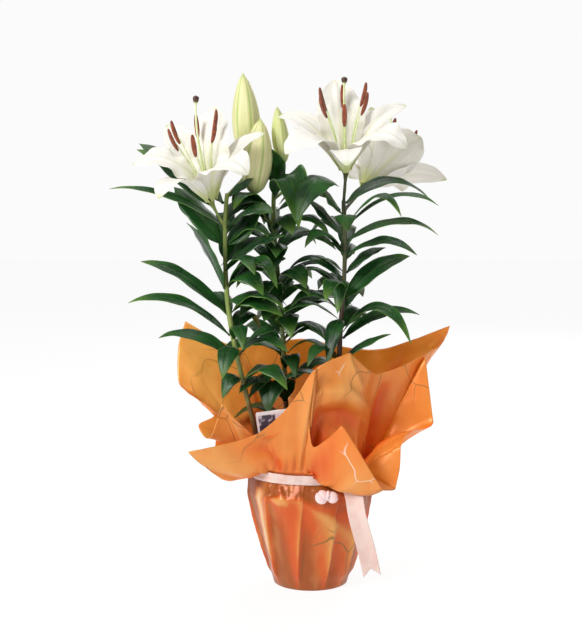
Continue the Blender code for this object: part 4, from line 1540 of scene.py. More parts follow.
@dataclass
class Bud:
    """A closed bud over its CAD node: three tepals folded over three."""

    name: str
    greenness: float
    sides: int = 48
    steps: int = 56
    finish: BudFinish = field(default_factory=BudFinish)

    def build(self) -> None:
        """Builds the bud on the CAD bud's foot, tip and girth."""
        places, links, ends = read_ends(self.name)
        foot = min(ends, key=lambda point: places[point].z)
        rings = [[places[point] for point in ring] for ring in rings_from(links, foot)]
        centres = [sum(ring, Vector()) / len(ring) for ring in rings]
        girths = [
            sum((point - centre).length for point in ring) / len(ring) for ring, centre in zip(rings, centres)
        ]
        aim = (centres[-1] - centres[0]).normalized()
        side = aim.orthogonal().normalized()
        rear = aim.cross(side)

        def place(u: float, v: float) -> Vector:
            """Returns a point of the bud.

            Args:
                u: The share across or round it.
                v: The share along it.

            Returns:
                The point.
            """
            turn = 2 * math.pi * u
            seam = 1 - 0.075 * math.exp(-((math.sin(3 * turn) / 0.26) ** 2)) * ease(v, 0.0, 0.15)
            keel = 1 + 0.045 * math.cos(6 * turn) * math.sin(math.pi * v)
            twist = turn + 0.25 * v
            radius = along_points(girths, v) * seam * keel
            return along_points(centres, v) + (side * math.cos(twist) + rear * math.sin(twist)) * radius

        bm = patch(self.sides, self.steps, place)
        bmesh.ops.remove_doubles(bm, verts=bm.verts, dist=MERGE)
        bmesh.ops.recalc_face_normals(bm, faces=bm.faces)
        material = self.finish.material(f"{self.name}_finish", self.greenness)
        finish_piece(f"{self.name}_petals", bm, material, Slot.BUD, (self.name,))


# ---------------- pot, soil and card


@dataclass
class Pot:
    """The nursery pot with its soil and bulbs."""

    crumbs: int = 260
    crumb_size: float = 0.0022
    soil_rings: int = 40
    soil_play: float = 0.0006
    soil_depth: float = 0.012
    soil_edge: float = 0.85

    def build(self) -> None:
        """Dresses the CAD pot and bulbs, and builds loose soil over the CAD soil."""
        pot = PotFinish().material("pot_moulding")
        bulb = BulbFinish().material("bulb_scale")
        dressing = {"pot": pot, "bulb_left": bulb, "bulb_middle": bulb, "bulb_right": bulb}
        for node, material in dressing.items():
            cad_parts[node].data.materials.clear()
            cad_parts[node].data.materials.append(material)
        self.build_soil()

    def build_soil(self) -> None:
        """Builds the soil: the CAD soil's body with a crumbled top, and loose crumbs on it."""
        low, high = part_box("soil")
        radius = (high.x - low.x) / 2 - self.soil_play
        top = high.z
        edge = self.soil_edge

        def place(u: float, v: float) -> Vector:
            """Returns a point of the soil, from its middle out and down its side.

            Args:
                u: The share across or round it.
                v: The share along it.

            Returns:
                The point.
            """
            out = heading(math.degrees(2 * math.pi * u))
            if v > edge:
                level = top - 0.004 - self.soil_depth * (v - edge) / (1 - edge)
                return out * radius * 0.98 + Vector((0, 0, level))
            spot = out * (radius * v / edge)
            lump = noise.noise(spot * 160) * 0.0016 + noise.noise(spot * 420) * 0.0008
            return spot + Vector((0, 0, top - 0.0014 + lump * (1 - ease(v, 0.8, edge))))

        bm = patch(96, self.soil_rings, place)
        bmesh.ops.remove_doubles(bm, verts=bm.verts, dist=MERGE)
        bmesh.ops.holes_fill(bm, edges=[edge for edge in bm.edges if edge.is_boundary])
        bmesh.ops.recalc_face_normals(bm, faces=bm.faces)
        draw = random.Random(7)
        for _ in range(self.crumbs):
            reach = radius * 0.95 * math.sqrt(draw.random())
            spot = heading(360 * draw.random()) * reach
            size = self.crumb_size * (0.35 + 0.65 * draw.random())
            shape = Matrix.Diagonal((size, size * (0.5 + 0.5 * draw.random()), size * 0.55, 1.0))
            turn = Matrix.Rotation(math.tau * draw.random(), 4, "Z")
            place_it = Matrix.Translation(spot + Vector((0, 0, top - 0.0004 + 0.0006 * draw.random())))
            bmesh.ops.create_icosphere(bm, subdivisions=1, radius=1.0, matrix=place_it @ turn @ shape)
        finish_piece("soil_crumbs", bm, SoilFinish().material("soil_peat"), Slot.SOIL, ("soil",))


@dataclass
class LabelCard:
    """The plant label standing in the soil, with rounded corners."""

    thickness: float = 0.0006
    corner: float = 0.003
    bow: float = 0.0006

    def build(self) -> None:
        """Builds the card on the plane and size of the CAD card."""
        bm = merged_copy("label_card")
        places = [vert.co.copy() for vert in bm.verts]
        bm.free()
        centre = sum(places, Vector()) / len(places)
        top = sorted(places, key=lambda point: -point.z)[:4]
        right = sorted(top, key=lambda point: -point.x)[:2]
        left = [point for point in top if point not in right]
        across = sum(right, Vector()) / 2 - sum(left, Vector()) / 2
        up = (sum(top, Vector()) / 4 - centre) * 2

        def place(u: float, v: float) -> Vector:
            """Returns a point of the card.

            Args:
                u: The share across or round it.
                v: The share along it.

            Returns:
                The point.
            """
            x, y = (u - 0.5) * across.length, (v - 0.5) * up.length
            inner_x, inner_y = across.length / 2 - self.corner, up.length / 2 - self.corner
            over = Vector((max(0.0, abs(x) - inner_x), max(0.0, abs(y) - inner_y)))
            if over.length > self.corner:
                over *= self.corner / over.length
                x = math.copysign(inner_x + over.x, x)
                y = math.copysign(inner_y + over.y, y)
            bow = self.bow * math.cos(math.pi * (v - 0.5)) * math.cos(math.pi * (u - 0.5))
            return centre + across.normalized() * x + up.normalized() * y + Vector((0, -bow, 0))

        bm = patch(40, 100, place)
        material = CardFinish().material("card_print")
        piece = finish_piece("label_card_print", bm, material, Slot.CARD, ("label_card",))
        thicken(piece, self.thickness)


# ---------------- wrapping film


@dataclass(frozen=True)
class FilmRay:
    """One line of film from the tie to the sheet's edge: where it leaves, where it ends, its arch."""

    tie: float
    azimuth: float
    spread: float
    rise: float
    arch: float = 0.006
    corner: bool = False


@dataclass(frozen=True)
class Fold:
    """A fold in the film: a ridge between two places, each an angle and a share of the way.

    Shares run from -1 at the base through 0 at the tie to 1 at the sheet's edge.
    """

    start: tuple[float, float]
    end: tuple[float, float]
    height: float
    width: float
    sharpness: float = 1.0
    steep: float = 0.45
    degrees_a_share: float = 60.0

    def lift(self, degrees: float, share: float) -> float:
        """Returns how far the fold raises the film at a place.

        Args:
            degrees: The angle from +X, in degrees.
            share: The share of the way.

        Returns:
            The height of the fold there, in metres.
        """
        angle = (degrees - self.start[0] + 180) % 360 - 180
        run = Vector((self.end[0] - self.start[0], (self.end[1] - self.start[1]) * self.degrees_a_share))
        here = Vector((angle, (share - self.start[1]) * self.degrees_a_share))
        t = clamp(here.dot(run) / run.length_squared)
        away = here - run * t
        side = run.x * away.y - run.y * away.x
        wide = self.width * (self.steep if side > 0 else 1.0)
        reach = away.length / wide
        fade = 0.35 + 0.65 * math.sin(math.pi * t)
        return self.height * math.exp(-(reach ** (2 / self.sharpness))) * fade


@dataclass
class FilmSheet:
    """A square of film under the pot, drawn up round it, gathered by the tie and flaring above."""

    name: str
    node: str
    layer: int
    rays: tuple[FilmRay, ...]
    folds: tuple[Fold, ...]
    flat_side: float
    gleams: tuple[Triple, ...] = ()
    columns: int = 480
    body_rows: int = 54
    flare_rows: int = 44
    thickness: float = 0.00022
    film: float = 0.0005
    play: float = 0.0009
    tuck: float = 0.001
    foot_radius: float = 0.0395
    lip: float = 0.014
    under: float = 0.8
    fold_fade: float = 0.7
    fold_stop: float = 0.76
    flare_gather: float = 0.0018
    body_gather: float = 0.0004
    # Painted highlight: the angle and width of a cream strip down the body.
    highlight_strip_angle: float = 217.0
    highlight_strip_width: float = 5.5

    def __post_init__(self) -> None:
        """Reads the pot's and band's sizes from the frame."""
        _, pot_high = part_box("pot")
        _, band_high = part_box("ribbon_band")
        self.rim_radius = pot_high.x
        self.rim_level = pot_high.z
        self.flare_level = band_high.z + FILM_GAP
        self.foot_level = (1 - self.layer) * (self.film + FILM_GAP) + self.film / 2

    def radius(self, level: float) -> float:
        """Returns the sheet's radius round the pot at a level.

        Args:
            level: The level, in metres above the ground.

        Returns:
            The radius, in metres.
        """
        off = self.film / 2 + self.play + self.layer * (self.film + self.play)
        shoulder = self.rim_level - self.lip
        if level >= shoulder:
            return self.rim_radius + off - self.tuck * ease(level, self.rim_level, self.rim_level + 0.006)
        return self.foot_radius + off + (self.rim_radius - self.foot_radius) * level / shoulder

    def rim(self, degrees: float) -> tuple[Vector, float]:
        """Returns the sheet's edge and arch for an angle at the tie, sharp only at the corners.

        Args:
            degrees: The angle at the tie.

        Returns:
            The place on the sheet's edge, and how far the film arches on its way there.
        """
        knots = self.rays
        turn = (degrees - knots[0].tie) % 360
        ties = [(ray.tie - knots[0].tie) % 360 for ray in knots] + [360.0]
        i = max(index for index, tie in enumerate(ties[:-1]) if tie <= turn)
        t = (turn - ties[i]) / (ties[i + 1] - ties[i])
        count = len(knots)
        start, end = knots[i], knots[(i + 1) % count]
        here, there = self.edge(start), self.edge(end)
        before = here * 2 - there if start.corner else self.edge(knots[i - 1])
        after = there * 2 - here if end.corner else self.edge(knots[(i + 2) % count])
        smooth = ease(t, 0.0, 1.0)
        return hermite(before, here, there, after, t), start.arch + (end.arch - start.arch) * smooth

    def edge(self, ray: FilmRay) -> Vector:
        """Returns the place where a ray meets the sheet's edge."""
        reach = self.radius(self.flare_level) + ray.spread
        return heading(ray.azimuth) * reach + Vector((0, 0, self.flare_level + ray.rise))

    def pleat(self, degrees: float, share: float) -> float:
        """Returns the gathers' depth, greatest beside the tie.

        Args:
            degrees: The angle from +X, in degrees.
            share: The share of the way, negative below the tie.

        Returns:
            How far they move the film out, in metres.
        """
        wander = 4 * noise.noise((heading(degrees) + Vector((0, 0, 0.3))) * 1.7)
        turn = math.radians(degrees)
        waves = math.sin(19 * turn + wander) + 0.6 * math.sin(31 * turn - 2 * wander)
        waves += 0.3 * math.sin(53 * turn)
        if share >= 0:
            return waves * self.flare_gather * (1 - ease(share, 0.06, 0.34))
        return waves * self.body_gather * (1 - ease(-share, 0.05, 0.22))

    def place(self, degrees: float, share: float) -> Vector:
        """Returns the film's place without its folds, for an angle and a share of the way.

        Args:
            degrees: The angle from +X, in degrees.
            share: The share of the way, negative below the tie.

        Returns:
            The place.
        """
        if share >= 0:
            edge, arch = self.rim(degrees)
            start = heading(degrees) * self.radius(self.flare_level) + Vector((0, 0, self.flare_level))
            return start.lerp(edge, share) + Vector((0, 0, 4 * arch * share * (1 - share)))
        down = -share
        if down < self.under:
            level = max(self.flare_level * (1 - down / self.under), self.foot_level)
            return heading(degrees) * self.radius(level) + Vector((0, 0, level))
        reach = self.radius(0.0) * (1 - (down - self.under) / (1 - self.under))
        return heading(degrees) * reach + Vector((0, 0, self.foot_level))

    def lift(self, degrees: float, share: float, spot: Vector) -> float:
        """Returns how far folds, gathers and crinkles move the film out from its plain place.

        Args:
            degrees: The angle from +X, in degrees.
            share: The share of the way, negative below the tie.
            spot: The place without its folds.

        Returns:
            The distance, in metres.
        """
        if share < -self.fold_stop:
            return 0.0
        rise = self.pleat(degrees, share)
        rise += sum(fold.lift(degrees, share) for fold in self.folds)
        rise *= ease(abs(share + 0.02), 0.02, 0.09)
        away = ease(abs(share), 0.0, 0.15)
        crease = 1 - 2 * abs(noise.noise(spot * 34 + Vector((self.layer * 3.1, 0, 0))))
        rise += away * (0.0007 * noise.noise(spot * 70) + 0.0011 * crease * ease(share, -0.2, 0.3))
        if share < 0:
            rise = max(rise, -0.0006) * (1 - ease(-share, self.fold_fade, self.fold_stop))
        return rise

    def painted_light(self, degrees: float, share: float) -> tuple[float, float]:
        """Returns the painted shade and the painted highlight at a place, each from 0 to 1.

        Args:
            degrees: The angle from +X, in degrees.
            share: The share of the way, negative below the tie.

        Returns:
            Both shares, as the finish reads them.
        """
        rise = sum(fold.lift(degrees, share) for fold in self.folds)
        # Painted highlight: each gleam raises the rise at its angle, so the finish paints the flare pale
        # there.
        for centre, width, strength in self.gleams:
            away = (degrees - centre + 180) % 360 - 180
            rise += 0.008 * strength * math.exp(-((away / width) ** 2)) * ease(share, 0.1, 0.8)
        # Painted shade beside the tie, where the gathers bunch.
        near_tie = 0.6 * ease(abs(share), 0.0, 0.04) * (1 - ease(abs(share), 0.06, 0.34))
        if share < 0:
            # Below the tie: painted shade where the film lies low, and a cream strip of painted highlight
            # down the body.
            painted_shade = 2.0 * clamp(near_tie + 1.1 - rise / 0.0066)
            off = degrees - self.highlight_strip_angle - 6 * share
            edge = math.exp(-((off / self.highlight_strip_width) ** 2)) * ease(-share, 0.1, 0.16)
            edge *= 1 - ease(-share, 0.5, 0.66)
            return painted_shade * (1 - edge), clamp((rise - 0.0056) / 0.0026) + 1.6 * edge
        # Above the tie: painted shade in the low folds, painted highlight on the raised ones.
        return clamp(near_tie - rise / 0.005), clamp(rise / 0.008)

    def build(self, material: Material) -> Piece:
        """Args:
            material: The finish of the film.

        Returns:
            The finished sheet.
        """
        rows = self.body_rows + self.flare_rows
        spots: dict[int, tuple[float, float]] = {}

        def share_of(v: float) -> float:
            """Returns the share of the way for a place from 0 to 1 along the grid.

            Args:
                v: The share up the sheet.

            Returns:
                The share of the way.
            """
            row = v * rows
            if row <= self.body_rows:
                return row / self.body_rows - 1
            return (row - self.body_rows) / self.flare_rows

        bm = patch(self.columns, rows, lambda u, v: Vector((u, v, 0)))
        bm.verts.index_update()
        # A UV layer that carries the painted shade and painted highlight of each point.
        painted_light_layer = bm.loops.layers.uv.new("Hollow")
        for vert in bm.verts:
            spots[vert.index] = (360 * vert.co.x, share_of(vert.co.y))
            painted_light = self.painted_light(*spots[vert.index])
            for loop in vert.link_loops:
                loop[painted_light_layer].uv = painted_light
            vert.co = self.place(*spots[vert.index])
        bm.normal_update()
        lifts = {}
        for vert in bm.verts:
            degrees, share = spots[vert.index]
            out = vert.normal if vert.normal.length else Vector((0, 0, 1))
            if share < 0:
                out = heading(degrees)
            elif out.dot(heading(degrees)) - out.z < 0:
                out = -out
            lifts[vert.index] = out * self.lift(degrees, share, vert.co)
        for vert in bm.verts:
            vert.co += lifts[vert.index]
        bmesh.ops.remove_doubles(bm, verts=bm.verts, dist=WELD)
        bmesh.ops.recalc_face_normals(bm, faces=bm.faces)
        piece = finish_piece(self.name, bm, material, Slot.FILM, (self.node,))
        thicken(piece, self.thickness)
        return piece


@dataclass
class Wrapping:
    """Both sheets of film."""

    finish: FilmFinish = field(default_factory=FilmFinish)

    def build(self) -> None:
        """Builds the inner and the outer sheet."""
        material = self.finish.material("film_print_and_painted_light")
        self.inner().build(material)
        self.outer().build(material)

    def inner(self) -> FilmSheet:
        """Returns the inner sheet, whose corners stand up behind the plant and in front.

        Returns:
            The sheet, ready to build.
        """
        rays = (
            FilmRay(22.5, 23, 0.112, 0.148, corner=True),
            FilmRay(45, 45, 0.06, 0.118),
            FilmRay(67.5, 70, 0.038, 0.12),
            FilmRay(97.5, 95, 0.036, 0.128),
            FilmRay(127.5, 127, 0.05, 0.122),
            FilmRay(142.5, 140, 0.061, 0.124),
            FilmRay(150, 151, 0.102, 0.152, corner=True),
            FilmRay(157.5, 158, 0.1, 0.124),
            FilmRay(165, 163, 0.094, 0.088),
            FilmRay(172.5, 170, 0.076, 0.076),
            FilmRay(180, 182, 0.042, 0.056),
            FilmRay(187.5, 187, 0.06, 0.045),
            FilmRay(195, 195, 0.05, 0.034),
            FilmRay(202.5, 203, 0.04, 0.074, corner=True),
            FilmRay(225, 228, 0.018, 0.04, 0.01),
            FilmRay(247.5, 250, 0.006, 0.058, 0.006),
            FilmRay(262, 262, 0.004, 0.088, 0.004),
            FilmRay(270, 270, 0.005, 0.108, 0.004),
            FilmRay(277, 278, 0.009, 0.122, 0.004),
            FilmRay(300, 301, 0.012, 0.134, corner=True),
            FilmRay(315, 319, 0.014, 0.114),
            FilmRay(330, 335, 0.012, 0.106),
            FilmRay(341, 345, 0.03, 0.11),
            FilmRay(352.5, 355, 0.056, 0.122),
            FilmRay(367.5, 370, 0.086, 0.134),
        )
        folds = (
            Fold((268, 0.05), (276, 0.62), -0.008, 10.0),
            Fold((270, 0.76), (322, 0.6), 0.006, 8.0, 1.5),
            Fold((276, 0.5), (316, 0.44), -0.008, 9.0),
            Fold((300, 0.95), (312, 0.75), 0.004, 6.0, 1.6),
            Fold((332, 0.05), (338, 0.95), -0.005, 8.0),
            Fold((350, 0.1), (360, 0.9), 0.004, 10.0, 1.4),
            Fold((158, 0.05), (158, 0.8), 0.005, 9.0, 1.5),
            Fold((140, 0.05), (136, 0.8), -0.005, 8.0),
            Fold((178, 0.05), (176, 0.9), -0.005, 6.0),
            Fold((206, 0.05), (206, 0.9), 0.005, 7.0, 1.5),
            Fold((60, 0.05), (60, 0.8), 0.006, 12.0, 1.5),
            Fold((36, 0.05), (34, 0.8), -0.006, 12.0, 1.5),
            Fold((85, 0.05), (84, 0.8), -0.005, 10.0),
            Fold((110, 0.05), (110, 0.8), 0.005, 12.0, 1.5),
        )
        # Painted highlights on the flare: angle, width and strength of each pale band.
        gleams = ((150.0, 18.0, 0.9), (200.0, 10.0, 0.7), (300.0, 10.0, 0.5))
        return FilmSheet("film_inner", "wrap_inner", 0, rays, folds, 0.42, gleams)

    def outer(self) -> FilmSheet:
        """Returns the outer sheet, whose corners spread low and wide round the pot.

        Returns:
            The sheet, ready to build.
        """
        rays = (
            FilmRay(7.5, 10, 0.06, 0.106),
            FilmRay(22.5, 23, 0.058, 0.06),
            FilmRay(52.5, 52, 0.048, 0.05),
            FilmRay(75, 75, 0.054, 0.064),
            FilmRay(97.5, 98, 0.078, 0.084, corner=True),
            FilmRay(120, 120, 0.044, 0.05),
            FilmRay(157.5, 157, 0.044, 0.034),
            FilmRay(180, 180, 0.04, 0.02),
            FilmRay(195, 195, 0.042, 0.01, -0.012),
            FilmRay(210, 212, 0.088, 0.029, -0.022, corner=True),
            FilmRay(217, 216.5, 0.062, 0.034, -0.02),
            FilmRay(224, 221, 0.036, 0.038, -0.008),
            FilmRay(234, 231, 0.0175, 0.0485, 0.004),
            FilmRay(246, 247, 0.0105, 0.07, 0.003),
            FilmRay(254, 260, 0.0105, 0.0925, 0.003),
            FilmRay(258, 268, 0.012, 0.111, 0.003),
            FilmRay(262, 275, 0.014, 0.122, 0.004, corner=True),
            FilmRay(264.5, 269, 0.011, 0.088, 0.003),
            FilmRay(267, 270, 0.008, 0.036, -0.008),
            FilmRay(270, 278, 0.018, 0.04, -0.02),
            FilmRay(274, 288, 0.036, 0.061, -0.032, corner=True),
            FilmRay(279, 298, 0.046, 0.026, -0.022),
            FilmRay(284, 308.5, 0.053, -0.0115, -0.012, corner=True),
            FilmRay(290, 309, 0.03, 0.0, -0.008),
            FilmRay(297, 320, 0.05, -0.0137, -0.008, corner=True),
            FilmRay(304, 322, 0.053, 0.01, -0.004),
            FilmRay(312, 324, 0.052, 0.036, 0.002),
            FilmRay(322, 332, 0.052, 0.044, 0.008),
            FilmRay(334, 342, 0.064, 0.046, 0.006),
            FilmRay(345, 351, 0.07, 0.05, 0.008, corner=True),
            FilmRay(352.5, 355, 0.06, 0.122, 0.004, corner=True),
        )
        folds = (
            Fold((258, 0.1), (261, 0.95), 0.004, 5.0, 1.6),
            Fold((240, 0.05), (226, 0.8), -0.004, 5.0, 1.3),
            Fold((226, 0.1), (214, 0.9), 0.005, 6.0, 1.6),
            Fold((214, 0.3), (208, 0.95), -0.004, 4.0, 1.4),
            Fold((268, 0.05), (269, 0.95), -0.006, 5.0),
            Fold((279, 0.1), (280, 0.9), 0.003, 3.0, 1.4),
            Fold((291, 0.05), (290, 0.95), -0.005, 4.0),
            Fold((304, 0.05), (304, 0.95), 0.004, 6.0, 1.5),
            Fold((322, 0.05), (324, 0.95), -0.005, 6.0),
            Fold((338, 0.05), (340, 0.95), 0.005, 6.0, 1.5),
            Fold((60, 0.05), (60, 0.9), 0.006, 9.0, 1.5),
            Fold((120, 0.05), (124, 0.9), -0.006, 9.0),
            Fold((180, 0.05), (184, 0.9), 0.006, 9.0, 1.5),
            Fold((230, -0.1), (213, -0.79), 0.0065, 11.0, 2.0, 0.12),
            Fold((262, -0.2), (252, -0.79), 0.006, 12.0, 2.0, 0.14),
            Fold((252, -0.13), (312, -0.42), 0.006, 9.0, 1.6, 0.42),
            Fold((262, -0.07), (330, -0.2), 0.006, 5.0, 2.0, 0.2),
            Fold((226, -0.17), (256, -0.15), 0.0065, 5.0, 2.0, 0.16),
            Fold((236, -0.04), (247, -0.15), 0.005, 5.0, 2.0, 0.16),
            Fold((292, -0.34), (290, -0.79), 0.0055, 12.0, 2.0, 0.12),
            Fold((314, -0.16), (324, -0.79), 0.007, 16.0, 2.0, 0.12),
            Fold((342, -0.12), (350, -0.79), 0.0045, 10.0, 2.0, 0.2),
            Fold((8, -0.2), (30, -0.79), 0.0065, 14.0, 2.0, 0.14),
            Fold((50, -0.08), (38, -0.5), 0.004, 10.0, 1.6, 0.3),
            Fold((66, -0.14), (90, -0.79), 0.006, 16.0, 2.0, 0.14),
            Fold((106, -0.1), (100, -0.6), 0.0035, 9.0, 1.6, 0.3),
            Fold((136, -0.1), (112, -0.79), 0.0065, 15.0, 2.0, 0.12),
            Fold((148, -0.32), (168, -0.79), 0.005, 12.0, 2.0, 0.16),
            Fold((190, -0.1), (181, -0.79), 0.005, 12.0, 2.0, 0.16),
        )
        # Painted highlights on the flare: angle, width and strength of each pale band.
        gleams = ((212.0, 9.0, 1.0), (256.0, 3.5, 0.5), (282.0, 4.0, 0.5))
        return FilmSheet("film_outer", "wrap_outer", 1, rays, folds, 0.38, gleams)


# ---------------- ribbon


@dataclass
class Ribbon:
    """The ribbon tied round the neck of the film: a band, a knot and one long tail."""

    width: float = 0.0195
    thickness: float = 0.0004
    tail_length: float = 0.122
    notch: float = 0.009
    pinch: float = 0.45
    knot_shift: Triple = (-0.0005, -0.003, -0.01)
    tail_line: tuple[Triple, ...] = (
        (0.022, -0.0735, 0.1335),
        (0.042, -0.076, 0.1275),
        (0.0495, -0.084, 0.095),
        (0.059, -0.083, 0.06),
        (0.066, -0.08, 0.029),
    )
    finish: RibbonFinish = field(default_factory=RibbonFinish)

    def build(self) -> None:
        """Builds the band, the knot and the tail."""
        material = self.finish.material("ribbon_satin")
        self.build_band(material)
        # Painted highlight: the knot gets a lighter copy of the ribbon satin, as if it caught more light.
        pale = RibbonFinish(pink=(0.93, 0.82, 0.79), blush=(0.9, 0.66, 0.64))
        self.build_knot(pale.material("ribbon_satin_lit"))
        self.build_tail(material)

    def build_band(self, material: Material) -> None:
        """Builds the band, creased where it is pulled tight over the gathers.

        Args:
            material: The finish of the ribbon.
        """
        low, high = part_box("ribbon_band")
        radius = high.x - self.thickness
        tall = high.z - low.z

        def place(u: float, v: float) -> Vector:
            """Returns a point of the band.

            Args:
                u: The share across or round it.
                v: The share along it.

            Returns:
                The point.
            """
            degrees = 360 * u
            ripple = 0.00035 * math.sin(math.radians(19 * degrees))
            ripple += 0.00025 * math.sin(math.radians(31 * degrees) + 1)
            crease = 0.0004 * math.sin(9 * v + 0.06 * degrees)
            narrow = 1 - 0.16 * (0.5 + 0.5 * math.sin(math.radians(3 * degrees + 40)))
            level = (low.z + high.z) / 2 + (v - 0.5) * tall * narrow
            return heading(degrees) * (radius + ripple + crease) + Vector((0, 0, level))

        bm = patch(360, 10, place)
        bmesh.ops.remove_doubles(bm, verts=bm.verts, dist=WELD)
        piece = finish_piece("ribbon_band_satin", bm, material, Slot.RIBBON, ("ribbon_band",))
        thicken(piece, self.thickness)

    def build_knot(self, material: Material) -> None:
        """Builds the knot: two small puffs of ribbon, one each side of a tight turn.

        Args:
            material: The finish of the puffs.
        """
        low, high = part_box("ribbon_knot")
        centre = (low + high) / 2 + Vector(self.knot_shift)
        bm = bmesh.new()
        lobes = (
            (Vector((-0.0044, -0.0012, 0.0)), Vector((0.0074, 0.006, 0.0078)), 0.3),
            (Vector((0.007, 0.0002, -0.0006)), Vector((0.0062, 0.005, 0.0066)), -0.5),
            (Vector((0.0018, -0.0018, 0.0016)), Vector((0.0024, 0.0046, 0.006)), 0.15),
        )
        for offset, size, turn in lobes:
            lobe = bmesh.new()
            bmesh.ops.create_uvsphere(lobe, u_segments=40, v_segments=28, radius=1.0)
            for vert in lobe.verts:
                vert.co *= 1 - 0.16 * math.exp(-(((vert.co.z + 0.5 * vert.co.x - 0.15) / 0.16) ** 2))
            shape = Matrix.Rotation(turn, 4, "Y") @ Matrix.Diagonal((*size, 1))
            shape = Matrix.Translation(centre + offset) @ shape
            bmesh.ops.transform(lobe, verts=lobe.verts, matrix=shape)
            pour(lobe, bm)
        finish_piece("ribbon_knot_satin", bm, material, Slot.RIBBON, ("ribbon_knot",))

    def build_tail(self, material: Material) -> None:
        """Builds the tail, which leaves the knot, hangs down to the right and ends in a V notch.

        Args:
            material: The finish of the ribbon.
        """
        line = [Vector(point) for point in self.tail_line]
        across = Vector((0.95, -0.1, 0.28)).normalized()

        def place(u: float, v: float) -> Vector:
            """Returns a point of the tail.

            Args:
                u: The share across or round it.
                v: The share along it.

            Returns:
                The point.
            """
            side = u - 0.5
            wide = self.width * (self.pinch + (1 - self.pinch) * ease(v, 0.02, 0.22))
            cut = self.notch * (1 - 2 * abs(side)) * ease(v, 0.8, 1.0)
            middle = along_points(line, v)
            forward = (along_points(line, v + 0.02) - along_points(line, v - 0.02)).normalized()
            level = (across - forward * across.dot(forward)).normalized()
            bow = forward.cross(level).normalized()
            curl = 0.0018 * (1 - 4 * side * side) * (1 - 0.6 * v) + 0.001 * math.sin(9 * v + 1) * side
            return middle - forward * cut + level * (side * wide) - bow * curl

        bm = patch(16, 80, place)
        piece = finish_piece("ribbon_tail_satin", bm, material, Slot.RIBBON, ("ribbon_tail",))
        thicken(piece, self.thickness)


# ---------------- studio


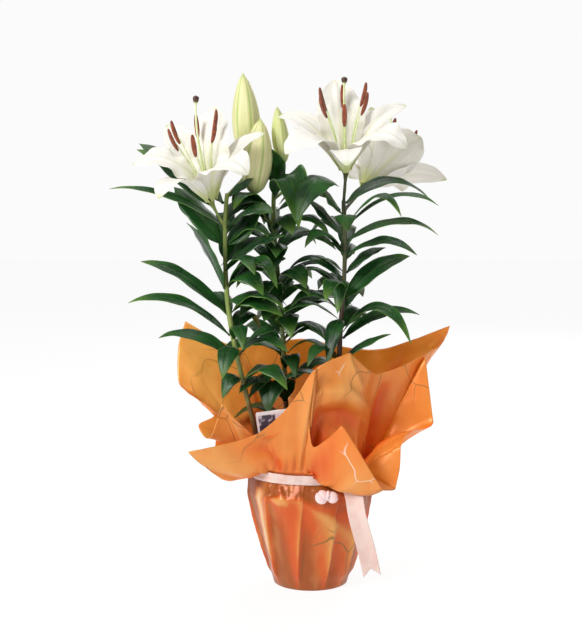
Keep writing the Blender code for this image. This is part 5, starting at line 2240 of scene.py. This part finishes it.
@dataclass
class Studio:
    """The floor, the lights and the camera."""

    floor_side: float = 12.0
    surround: float = 0.26
    backdrop: float = 0.965
    camera_place: Triple = (-0.0224, -1.45, 0.457)
    camera_tilt: float = 6.15
    lens: float = 72.84
    sensor: float = 36.0

    def build(self) -> None:
        """Builds the whole studio."""
        self.build_floor()
        self.build_world()
        self.build_light("key", (-1.5, -1.5, 1.5), 1.0, 50.0)
        self.build_light("fill", (1.8, -1.2, 0.9), 1.4, 4.0)
        self.build_light("top", (0.1, 0.4, 2.2), 1.2, 13.0)
        self.build_light("back", (0.9, 1.9, 1.3), 1.8, 14.0)
        self.build_camera()

    def build_floor(self) -> None:
        """Builds the floor."""
        bm = bmesh.new()
        bmesh.ops.create_grid(bm, x_segments=2, y_segments=2, size=self.floor_side / 2)
        mesh = bpy.data.meshes.new("studio_floor")
        bm.to_mesh(mesh)
        bm.free()
        mesh.materials.append(GroundFinish().material("studio_floor"))
        floor = bpy.data.objects.new("studio_floor", mesh)
        bpy.context.scene.collection.objects.link(floor)

    def build_world(self) -> None:
        """Lights everything softly from all round."""
        world = bpy.data.worlds.new("studio")
        world.use_nodes = True
        tree = world.node_tree
        sky = tree.nodes["Background"]
        sky.inputs["Color"].default_value = (1.0, 1.0, 1.0, 1.0)
        sight = tree.nodes.new("ShaderNodeLightPath")
        strength = tree.nodes.new("ShaderNodeMapRange")
        strength.inputs["To Min"].default_value = self.surround
        strength.inputs["To Max"].default_value = self.backdrop
        tree.links.new(sight.outputs["Is Camera Ray"], strength.inputs["Value"])
        tree.links.new(strength.outputs["Result"], sky.inputs["Strength"])
        bpy.context.scene.world = world
        bpy.context.scene.view_settings.view_transform = "Standard"

    def build_light(self, name: str, place: Triple, size: float, power: float) -> None:
        """Hangs one soft light that faces the plant.

        Args:
            name: The light's name.
            place: Where it hangs.
            size: Its width, in metres.
            power: Its power, in watts.
        """
        lamp = bpy.data.lights.new(name, "AREA")
        lamp.shape = "DISK"
        lamp.size = size
        lamp.energy = power
        light = bpy.data.objects.new(name, lamp)
        light.location = place
        aim = Vector((0.0, 0.0, 0.28)) - Vector(place)
        light.rotation_euler = aim.to_track_quat("-Z", "Y").to_euler()
        bpy.context.scene.collection.objects.link(light)

    def build_camera(self) -> None:
        """Sets up the camera in front of the plant, looking slightly down."""
        eye = bpy.data.cameras.new("camera")
        eye.lens = self.lens
        eye.sensor_width = self.sensor
        camera = bpy.data.objects.new("camera", eye)
        camera.location = self.camera_place
        camera.rotation_euler = (math.radians(90 - self.camera_tilt), 0.0, 0.0)
        bpy.context.scene.collection.objects.link(camera)
        bpy.context.scene.camera = camera


# ---------------- the whole plant


def build_flowers(soil: float) -> None:
    """Builds the three flowers and the four buds.

    Args:
        soil: The soil's level.
    """
    petals = {
        Whorl.INNER: PetalFinish().material("petal_inner", 0.25),
        Whorl.OUTER: PetalFinish().material("petal_outer", 0.8),
    }
    anther = AntherFinish().material("anther_pollen")
    filament = PistilFinish().material("filament_flesh", 2.0)
    pistil = PistilFinish().material("pistil_flesh", 0.93)
    flowers = (
        Flower("flower_left", "left", (-0.11, -0.026, 0.33), (-0.2, -0.4, 0.89), 0.94),
        Flower("flower_right", "right", (0.038, -0.006, 0.362), (-0.05, -0.42, 0.9), 0.84),
        Flower("flower_rear", "right", (0.062, 0.048, 0.344), (0.48, 0.62, 0.62), 0.85),
    )
    for flower in flowers:
        flower.build(soil, petals, anther, filament, pistil)
    greenness = {"bud_tall": 0.12, "bud_slim": 0.35, "bud_swelling": 0.02, "bud_green": 0.8}
    for name, share in greenness.items():
        Bud(name, share).build()


def main() -> None:
    """Builds the plant, its pot and wrapping, and the studio."""
    logging.basicConfig(level=logging.INFO, format="%(name)s %(message)s")
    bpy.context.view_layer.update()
    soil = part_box("soil")[1].z
    shaded = StemFinish(green=(0.045, 0.06, 0.018), pale=(0.11, 0.12, 0.035), brown=(0.05, 0.022, 0.012))
    stems = {
        "left": Stem("left"),
        "middle": Stem("middle"),
        "right": Stem("right", shaded, brown_from=0.1, green_from=0.34),
    }
    for stem in stems.values():
        stem.build(soil)
    Foliage(stems, soil).build()
    build_flowers(soil)
    Pot().build()
    LabelCard().build()
    Wrapping().build()
    Ribbon().build()
    Studio().build()


if __name__ == "__main__":
    main()
